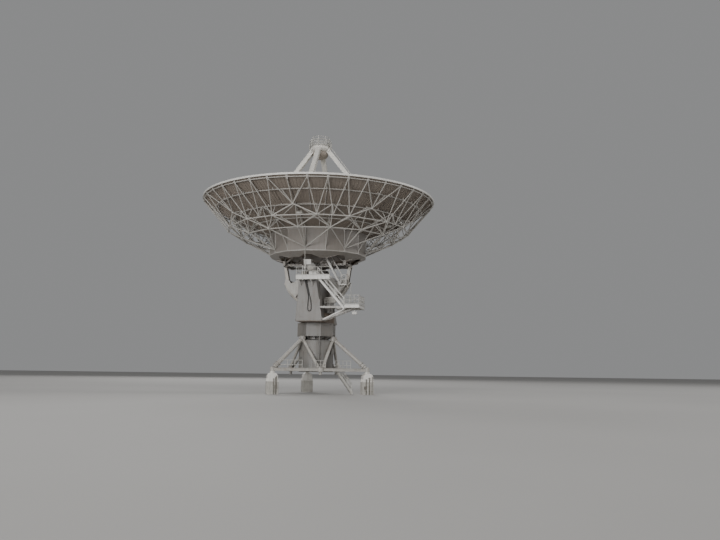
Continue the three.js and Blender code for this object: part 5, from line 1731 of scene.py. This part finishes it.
class TELESCOPE_OT_frame(bpy.types.Operator):
    """Builds the triangle of beams, the deck on it and the stair to the ground"""

    bl_idname = "telescope.frame"
    bl_label = "Base frame and deck"

    def execute(self, context):
        paint, grey = finish_of("stand_paint"), finish_of("rail_grey")
        low, high = FRAME_Z - FRAME_H / 2, FRAME_Z + FRAME_H / 2
        base, spots = Shape(), []
        names = list(FEET)
        for i, name in enumerate(names):
            a, b = foot_at(name), foot_at(names[(i + 1) % 3])
            lift = rise(FRAME_Z)
            run = (b - a).normalized()
            side = Vector((run.y, -run.x, 0))
            base.bar(a + lift, b + lift, FRAME_W - 0.08, FRAME_H - 0.03)
            for h in (-1, 1):
                off = rise(h * (FRAME_H / 2 - 0.012))
                base.bar(a + lift + off, b + lift + off, FRAME_W, 0.024)
            n = 12
            for k in range(1, n):
                p = a.lerp(b, k / n) + lift
                base.bar(p - side * (FRAME_W / 2 - 0.01), p + side * (FRAME_W / 2 - 0.01), 0.016, FRAME_H - 0.03)
            for t in (0.17, 0.83):
                p = a.lerp(b, t) + lift
                for s in (-1, 1):
                    q = p + side * s * (FRAME_W / 2 - 0.035)
                    base.bar(q - run * 0.3, q + run * 0.3, 0.03, FRAME_H - 0.05)
                    spots += [
                        (q + run * u + side * s * 0.015 + rise(v), side * s)
                        for u in (-0.24, -0.12, 0.12, 0.24)
                        for v in (-0.08, 0.08)
                    ]
            mid = (a + b) / 2
            top = FRAME_TOP
            rim = JOINT_R - 0.02
            base.lathe([(0, low), (rim, low), (rim, high), (JOINT_R, high), (JOINT_R, top), (0, top)], 48, centre=a)
            base.lathe([(0, low - 0.06), (JOINT_R, low - 0.06), (JOINT_R, low), (0, low)], 48, centre=a)
            base.lathe([(0, low - 0.04), (0.33, low - 0.04), (0.33, top), (0, top)], 32, centre=mid)
            base.lathe([(0, 1.98), (0.13, 1.98), (0.13, low), (0, low)], 24, centre=mid)
            base.lathe([(0, 1.98), (0.2, 1.98), (0.2, 2.02), (0, 2.02)], 24, centre=mid)
            spots += bolt_circle(a + rise(top), (0, 0, 1), JOINT_R - 0.05, 12)
            spots += bolt_circle(mid + rise(top), (0, 0, 1), 0.28, 12)
        heads = bolts(spots, 0.03, paint)
        piece("base_beams", merged(base.mesh("base"), heads), paint, "stand", "paint", ["base_frame"], smooth=25)

        inner = FOOT_R / 2 - FRAME_W / 2 - 0.001
        z = DECK_Z
        outline = [(-inner * math.sqrt(3) + 0.26, -inner), (1.85, -inner), (1.85, -1.7), (3.9, -1.7)]
        outline += [(0.26, inner * 2 - 0.45), (-0.26, inner * 2 - 0.45), (-inner * math.sqrt(3) + 0.13, -inner + 0.22)]
        deck = Shape().prism(outline, z - 0.05, z - 0.006)
        n = len(outline)
        for i in range(n):
            p, q = Vector((*outline[i], z - 0.045)), Vector((*outline[(i + 1) % n], z - 0.045))
            run = (q - p).normalized()
            off = Vector((-run.y, run.x, 0)) * 0.03
            deck.bar(p + off, q + off, 0.05, 0.09)
        edge = lambda y: min(3.9, 0.26 + (inner * 2 - 0.45 - y) / (inner * 2 + 1.25) * 3.64) - 0.05
        for i in range(60):
            y = -2.55 + 0.13 * i
            if y > 4.7:
                break
            right = 1.82 if y < -1.72 else edge(y)
            left = -max(0.24, (inner * 2 - 0.45 - y) / (inner * 3 - 0.67) * (inner * math.sqrt(3) - 0.4) + 0.2)
            hole = math.sqrt(max(0, (ROOM_R + 0.02) ** 2 - y * y))
            for a, b in ((left, -hole), (hole, right)) if hole else ((left, right),):
                if b - a > 0.1:
                    deck.box(a, b, y - 0.004, y + 0.004, z - 0.01, z)
        for y in (-2.4, 2.3):
            deck.box(-2.2 if y < 0 else -1.2, 1.6, y - 0.04, y + 0.04, z - 0.09, z - 0.05)
        deck.railing([(-4.1, -2.55, z), (-1.85, -2.55, z)], (0.5, 0.98), 0.72)
        deck.railing([(-0.58, -2.97, FRAME_TOP), (0.5, -2.97, FRAME_TOP)], (0.34, 0.7), 0.5, 0.026, 0)
        deck.railing([(1.75, -1.65, z), (3.4, -1.65, z)], (0.5, 0.98), 0.42)
        piece("deck_plates", deck.mesh("deck"), grey, "stand", "galvanised", ["base_deck"], smooth=25)
        flight = stair((1.86, -2.17, z - 0.16), (3.4, -2.17, 0.168), 0.68, 10, 0.9, grey)
        shoes = Shape()
        for s in (-1, 1):
            shoes.box(3.26, 3.54, -2.17 + s * 0.34 - 0.05, -2.17 + s * 0.34 + 0.05, 0.0, 0.03)
            shoes.box(3.34, 3.44, -2.17 + s * 0.34 - 0.01, -2.17 + s * 0.34 + 0.01, 0.03, 0.2)
        piece(
            "ground_stair_flight",
            merged(flight, shoes.mesh("shoes")),
            grey,
            "stand",
            "galvanised",
            ["ground_stair"],
            smooth=25,
        )
        return {"FINISHED"}


class TELESCOPE_OT_legs(bpy.types.Operator):
    """Builds the three support legs and their braces"""

    bl_idname = "telescope.legs"
    bl_label = "Support legs"

    def execute(self, context):
        paint = finish_of("stand_paint")
        for name, deg in FEET.items():
            out = Vector((cos_deg(deg), sin_deg(deg), 0))
            top = out * UPPER_R + rise(HOUSING[0] - 0.22)
            low = out * (FOOT_R - 0.14) + rise(FRAME_TOP - 0.06)
            leg, spots = Shape(), []
            runs = [(low, 0.2, 0.29, (0.065, 0.135, 0.93))]
            for side in (-60, 60):
                mid = math.radians(deg + side)
                along = math.radians(deg + side - math.copysign(90, side))
                foot = Vector(
                    (
                        math.cos(mid) * FOOT_R / 2 + math.cos(along) * 0.2,
                        math.sin(mid) * FOOT_R / 2 + math.sin(along) * 0.2,
                        FRAME_TOP - 0.06,
                    ),
                )
                runs.append((foot, 0.15, 0.2, (0.1, 0.88)))
            for foot, r, wide, joints in runs:
                run = (top - foot).normalized()
                start = foot + run * (0.062 / run.z)
                leg.tube(start, top, r, 40)
                length = (top - foot).length
                for t in joints:
                    p = foot + run * (length * t)
                    leg.tube(p, p + run * 0.036, wide, 40)
                    leg.tube(p + run * 0.042, p + run * 0.078, wide, 40)
                    spots += bolt_circle(p + run * 0.078, run, (wide + r) / 2 + 0.012, 16)
                    spots += bolt_circle(p, -run, (wide + r) / 2 + 0.012, 16)
                for t in (0.35, 0.62):
                    p = foot + run * (length * t)
                    leg.tube(p, p + run * 0.02, r + 0.006, 40)
                base = Vector((start.x, start.y, FRAME_TOP))
                side = rise(1).cross(run).normalized()
                flat = Vector((run.x, run.y, 0)).normalized()
                for w in (side, flat, -side, -flat):
                    fin = [base + w * (r * 0.9), base + w * (r + 0.17), base + w * (r + 0.02) + run * 0.32]
                    t = w.cross(rise(1)) * 0.01
                    leg.loft([p - t for p in fin], [p + t for p in fin])
            leg.lathe(
                [(0, -0.25), (0.27, -0.25), (0.29, -0.23), (0.29, 0.15), (0.34, 0.15), (0.34, 0.219), (0, 0.219)],
                48,
                centre=top,
            )
            for k in range(8):
                p = top + polar(45 * k, 0.28, 0)
                leg.bar(p + rise(0.04), p + polar(45 * k, 0.055, 0.04), 0.012, 0.22)
            leg.box(top.x - 0.05, top.x + 0.05, top.y - 0.05, top.y + 0.05, top.z - 0.32, top.z - 0.2)
            mesh = merged(outward(leg.mesh("leg")), bolts(spots, 0.022, paint))
            piece("leg_tubes_" + name, mesh, paint, "stand", "paint", ["support_leg_" + name], smooth=30)
        return {"FINISHED"}


class TELESCOPE_OT_housing(bpy.types.Operator):
    """Builds the round room below and the housing of the turning bearing"""

    bl_idname = "telescope.housing"
    bl_label = "Room and turning housing"

    def execute(self, context):
        paint = finish_of("stand_paint")
        z0, z1, r = HOUSING
        wide, first = r + 0.09, 2.7
        profile = [(0, z0), (wide + 0.05, z0), (wide + 0.05, z0 + 0.05), (wide, z0 + 0.05), (wide, z1 - 0.05)]
        profile += [(wide + 0.05, z1 - 0.05), (wide + 0.05, z1), (0, z1)]
        drum = Shape().lathe(profile, 8, first)
        mid, spots = (z0 + z1) / 2, []
        for k in range(8):
            a, b = polar(first + 45 * k, wide, 0), polar(first + 45 * k + 45, wide, 0)
            out = (a + b).normalized()
            drum.tube(a + rise(z0 + 0.04), a + rise(z1 - 0.04), 0.022, 10)
            for t in (0.2, 0.5, 0.8):
                p = a.lerp(b, t)
                for z in (z0 + 0.12, z1 - 0.12):
                    drum.bar(p + rise(z), p + out * 0.045 + rise(z), 0.014, 0.15)
            for i in range(8):
                p = a.lerp(b, (i + 0.5) / 8) + out * 0.024
                spots += [(p + rise(z1 - 0.05), (0, 0, -1)), (p + rise(z0 + 0.05), (0, 0, 1))]
            if k in (1, 3, 4, 6):
                p, w = (a + b) / 2 + rise(mid), 0.5 if k % 2 else 0.62
                drum.bar(p, p + out * 0.03, w, w + 0.1)
                run = (b - a).normalized()
                spots += [
                    (p + out * 0.03 + run * u * w * 0.42 + rise(v * w * 0.5), out)
                    for u in (-1, 0, 1)
                    for v in (-1, 0, 1) if u or v
                ]
        drum.bar(polar(-14, 1.88, z1 - 0.2), polar(-14, 1.97, z1 - 0.2), 0.24, 0.16)
        drum.bar(polar(20, 1.88, z1 - 0.2), polar(20, 1.97, z1 - 0.2), 0.6, 0.14)
        heads = bolts(spots, 0.022, paint)
        mesh = merged(outward(drum.mesh("drum")), heads)
        piece("turning_housing", mesh, finish_of("yoke_paint"), "stand", "paint", ["turning_bearing"], smooth=25)

        top = HOUSING[0] - 0.001
        profile = [(0, 2.25), (ROOM_R, 2.25), (ROOM_R, ROOM_TOP), (ROOM_R - 0.05, ROOM_TOP + 0.03)]
        profile += [(1.15, ROOM_TOP + 0.16), (1.15, top), (0, top)]
        room = Shape().lathe(profile, 96)
        for z in (2.5, 3.55, 4.6, 5.42):
            room.lathe(
                [(ROOM_R - 0.01, z), (ROOM_R + 0.012, z), (ROOM_R + 0.012, z + 0.035), (ROOM_R - 0.01, z + 0.035)], 96
            )
        room.lathe(
            [
                (ROOM_R - 0.02, ROOM_TOP - 0.05),
                (ROOM_R + 0.03, ROOM_TOP - 0.05),
                (ROOM_R + 0.03, ROOM_TOP + 0.01),
                (ROOM_R - 0.02, ROOM_TOP + 0.01),
            ],
            96,
        )
        for k in range(60):
            room.bar(polar(6 * k + 1, ROOM_R - 0.01, 3.97), polar(6 * k + 1, ROOM_R + 0.02, 3.97), 0.07, 2.8)
        room.tube((-0.03, -1.95, DECK_Z + 0.01), (-0.03, -1.95, HOUSING[0] - 0.01), 0.055, 16)
        for z in (2.9, 4.2, 5.3):
            room.box(-0.12, 0.06, -2.02, -1.79, z, z + 0.05)
        for k in range(12):
            deg = 30 * k + 15
            fin = [
                polar(deg, 1.1, top - 0.3),
                polar(deg, 1.25, top - 0.3),
                polar(deg, 1.7, top - 0.1),
                polar(deg, 1.7, top - 0.001),
                polar(deg, 1.1, top - 0.001),
            ]
            t = polar(deg + 90, 0.02, 0)
            room.loft([p - t for p in fin], [p + t for p in fin])
        for deg, z, w, h in ((-70, 3.5, 0.9, 2.0), (120, 3.4, 0.8, 1.4), (60, 4.4, 0.9, 0.6)):
            a = polar(deg, ROOM_R - 0.1, z)
            room.bar(a, polar(deg, ROOM_R + 0.03, z), w, h)
            room.bar(a, polar(deg, ROOM_R + 0.05, z), w - 0.12, h - 0.12)
        door = polar(-70, ROOM_R + 0.06, 3.45)
        room.bar(door + polar(20, 0.34, -0.06), door + polar(20, 0.34, 0.06), 0.03, 0.02)
        piece(
            "room_wall",
            outward(room.mesh("room")),
            finish_of("room_paint"),
            "stand",
            "paint",
            ["pedestal_room"],
            smooth=25,
        )
        # Near-black strips on the room wall: painted shade standing in for the shaded gaps beside the door and between
        # the louvre slats
        slots = Shape()
        for deg in (-74.5, -66):
            slots.bar(polar(deg, ROOM_R + 0.04, 3.5), polar(deg, ROOM_R + 0.056, 3.5), 0.12, 0.6)
        for i in range(7):
            slots.bar(
                polar(120, ROOM_R + 0.04, 2.95 + 0.15 * i), polar(120, ROOM_R + 0.056, 2.95 + 0.15 * i), 0.5, 0.05
            )
        piece("room_slots", slots.mesh("slots"), finish_of("dark_inside"), "stand", "paint", smooth=0)
        return {"FINISHED"}


class TELESCOPE_OT_studio(bpy.types.Operator):
    """Sets the floor, the soft lights and the camera"""

    bl_idname = "telescope.studio"
    bl_label = "Studio"

    def execute(self, context):
        scene = bpy.context.scene
        given = settings()
        corners = [(x * FLOOR_HALF, y * FLOOR_HALF, -0.002) for x, y in ((-1, -1), (1, -1), (1, 1), (-1, 1))]
        mesh = Shape().add(corners, [(0, 1, 2, 3)]).mesh("floor")
        material = bpy.data.materials.new("studio_floor")
        material.use_nodes = True
        w = Wiring(material.node_tree)
        shader = material.node_tree.nodes["Principled BSDF"]
        place = w.node("ShaderNodeTexCoord").outputs["Object"]
        tone = w.between(w.noise(place, 0.05, 4.0, 0.5), 0.3, 0.7, 0.97, 1.03)
        shade = w.node("ShaderNodeCombineColor", {0: tone, 1: tone, 2: tone}).outputs[0]
        ground = w.mix(1.0, (*given.floor_colour, 1.0), shade, "MULTIPLY")
        material.node_tree.links.new(ground, shader.inputs["Base Color"])
        shader.inputs["Roughness"].default_value = 0.9
        mesh.materials.append(material)
        ground = bpy.data.objects.new("studio_floor", mesh)
        scene.collection.objects.link(ground)
        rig.stage(ground)

        world = bpy.data.worlds.new("studio_sky")
        world.use_nodes = True
        background = world.node_tree.nodes["Background"]
        background.inputs["Color"].default_value = colour("f1f2f3")
        background.inputs["Strength"].default_value = SKY_STRENGTH
        scene.world = world
        for name, (spot, aim, size, share) in LIGHTS.items():
            light = bpy.data.lights.new(name, "AREA")
            light.shape, light.size, light.energy = "DISK", size, given.key_power * share
            lamp = bpy.data.objects.new(name, light)
            lamp.location = spot
            lamp.rotation_euler = (Vector(spot) - Vector(aim)).to_track_quat("Z", "Y").to_euler()
            scene.collection.objects.link(lamp)

        pitch, pan, roll = (math.radians(a) for a in (CAMERA_PITCH, CAMERA_PAN, CAMERA_ROLL))
        ahead = Vector((math.sin(pan) * math.cos(pitch), math.cos(pan) * math.cos(pitch), math.sin(pitch)))
        side = Vector((math.cos(pan), -math.sin(pan), 0))
        over = side.cross(ahead)
        right = side * math.cos(roll) + over * math.sin(roll)
        up = over * math.cos(roll) - side * math.sin(roll)
        turn = Matrix((right, up, -ahead)).transposed().to_4x4()
        data = bpy.data.cameras.new("photo_view")
        data.sensor_width, data.lens, data.clip_end = CAMERA_SENSOR, CAMERA_LENS, CAMERA_FAR
        camera = bpy.data.objects.new("photo_view", data)
        camera.matrix_world = Matrix.Translation(CAMERA_AT) @ turn
        scene.collection.objects.link(camera)
        scene.camera = camera
        return {"FINISHED"}


STEPS = ["studio", "cable", "reflector", "lattice", "drum", "feed", "apex", "gear"]
STEPS += ["arms", "bearings", "platforms", "drive", "piers", "frame", "legs", "housing"]


class TELESCOPE_PT_panel(bpy.types.Panel):
    """Lists the steps that build the telescope"""

    bl_idname = "TELESCOPE_PT_panel"
    bl_label = "Radio telescope"
    bl_space_type = "VIEW_3D"
    bl_region_type = "UI"
    bl_category = "Telescope"

    def draw(self, context):
        given = context.scene.telescope
        for key in TelescopeSettings.__annotations__:
            self.layout.prop(given, key)
        for step in STEPS:
            self.layout.operator("telescope." + step)


CLASSES = [TelescopeSettings, TELESCOPE_PT_panel]
CLASSES += [globals()["TELESCOPE_OT_" + step] for step in STEPS]


def register():
    for cls in CLASSES:
        bpy.utils.register_class(cls)
    bpy.types.Scene.telescope = bpy.props.PointerProperty(type=TelescopeSettings)


def unregister():
    del bpy.types.Scene.telescope
    for cls in reversed(CLASSES):
        bpy.utils.unregister_class(cls)


def main():
    register()
    for step in STEPS:
        getattr(bpy.ops.telescope, step)()
    for mesh in list(bpy.data.meshes):
        if not mesh.users:
            bpy.data.meshes.remove(mesh)
    box = [list(corner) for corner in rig.bounds()]
    with open("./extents.json", "w") as out:
        json.dump({"cad": CAD_BOX, "visual": box}, out)


if __name__ == "__main__":
    main()
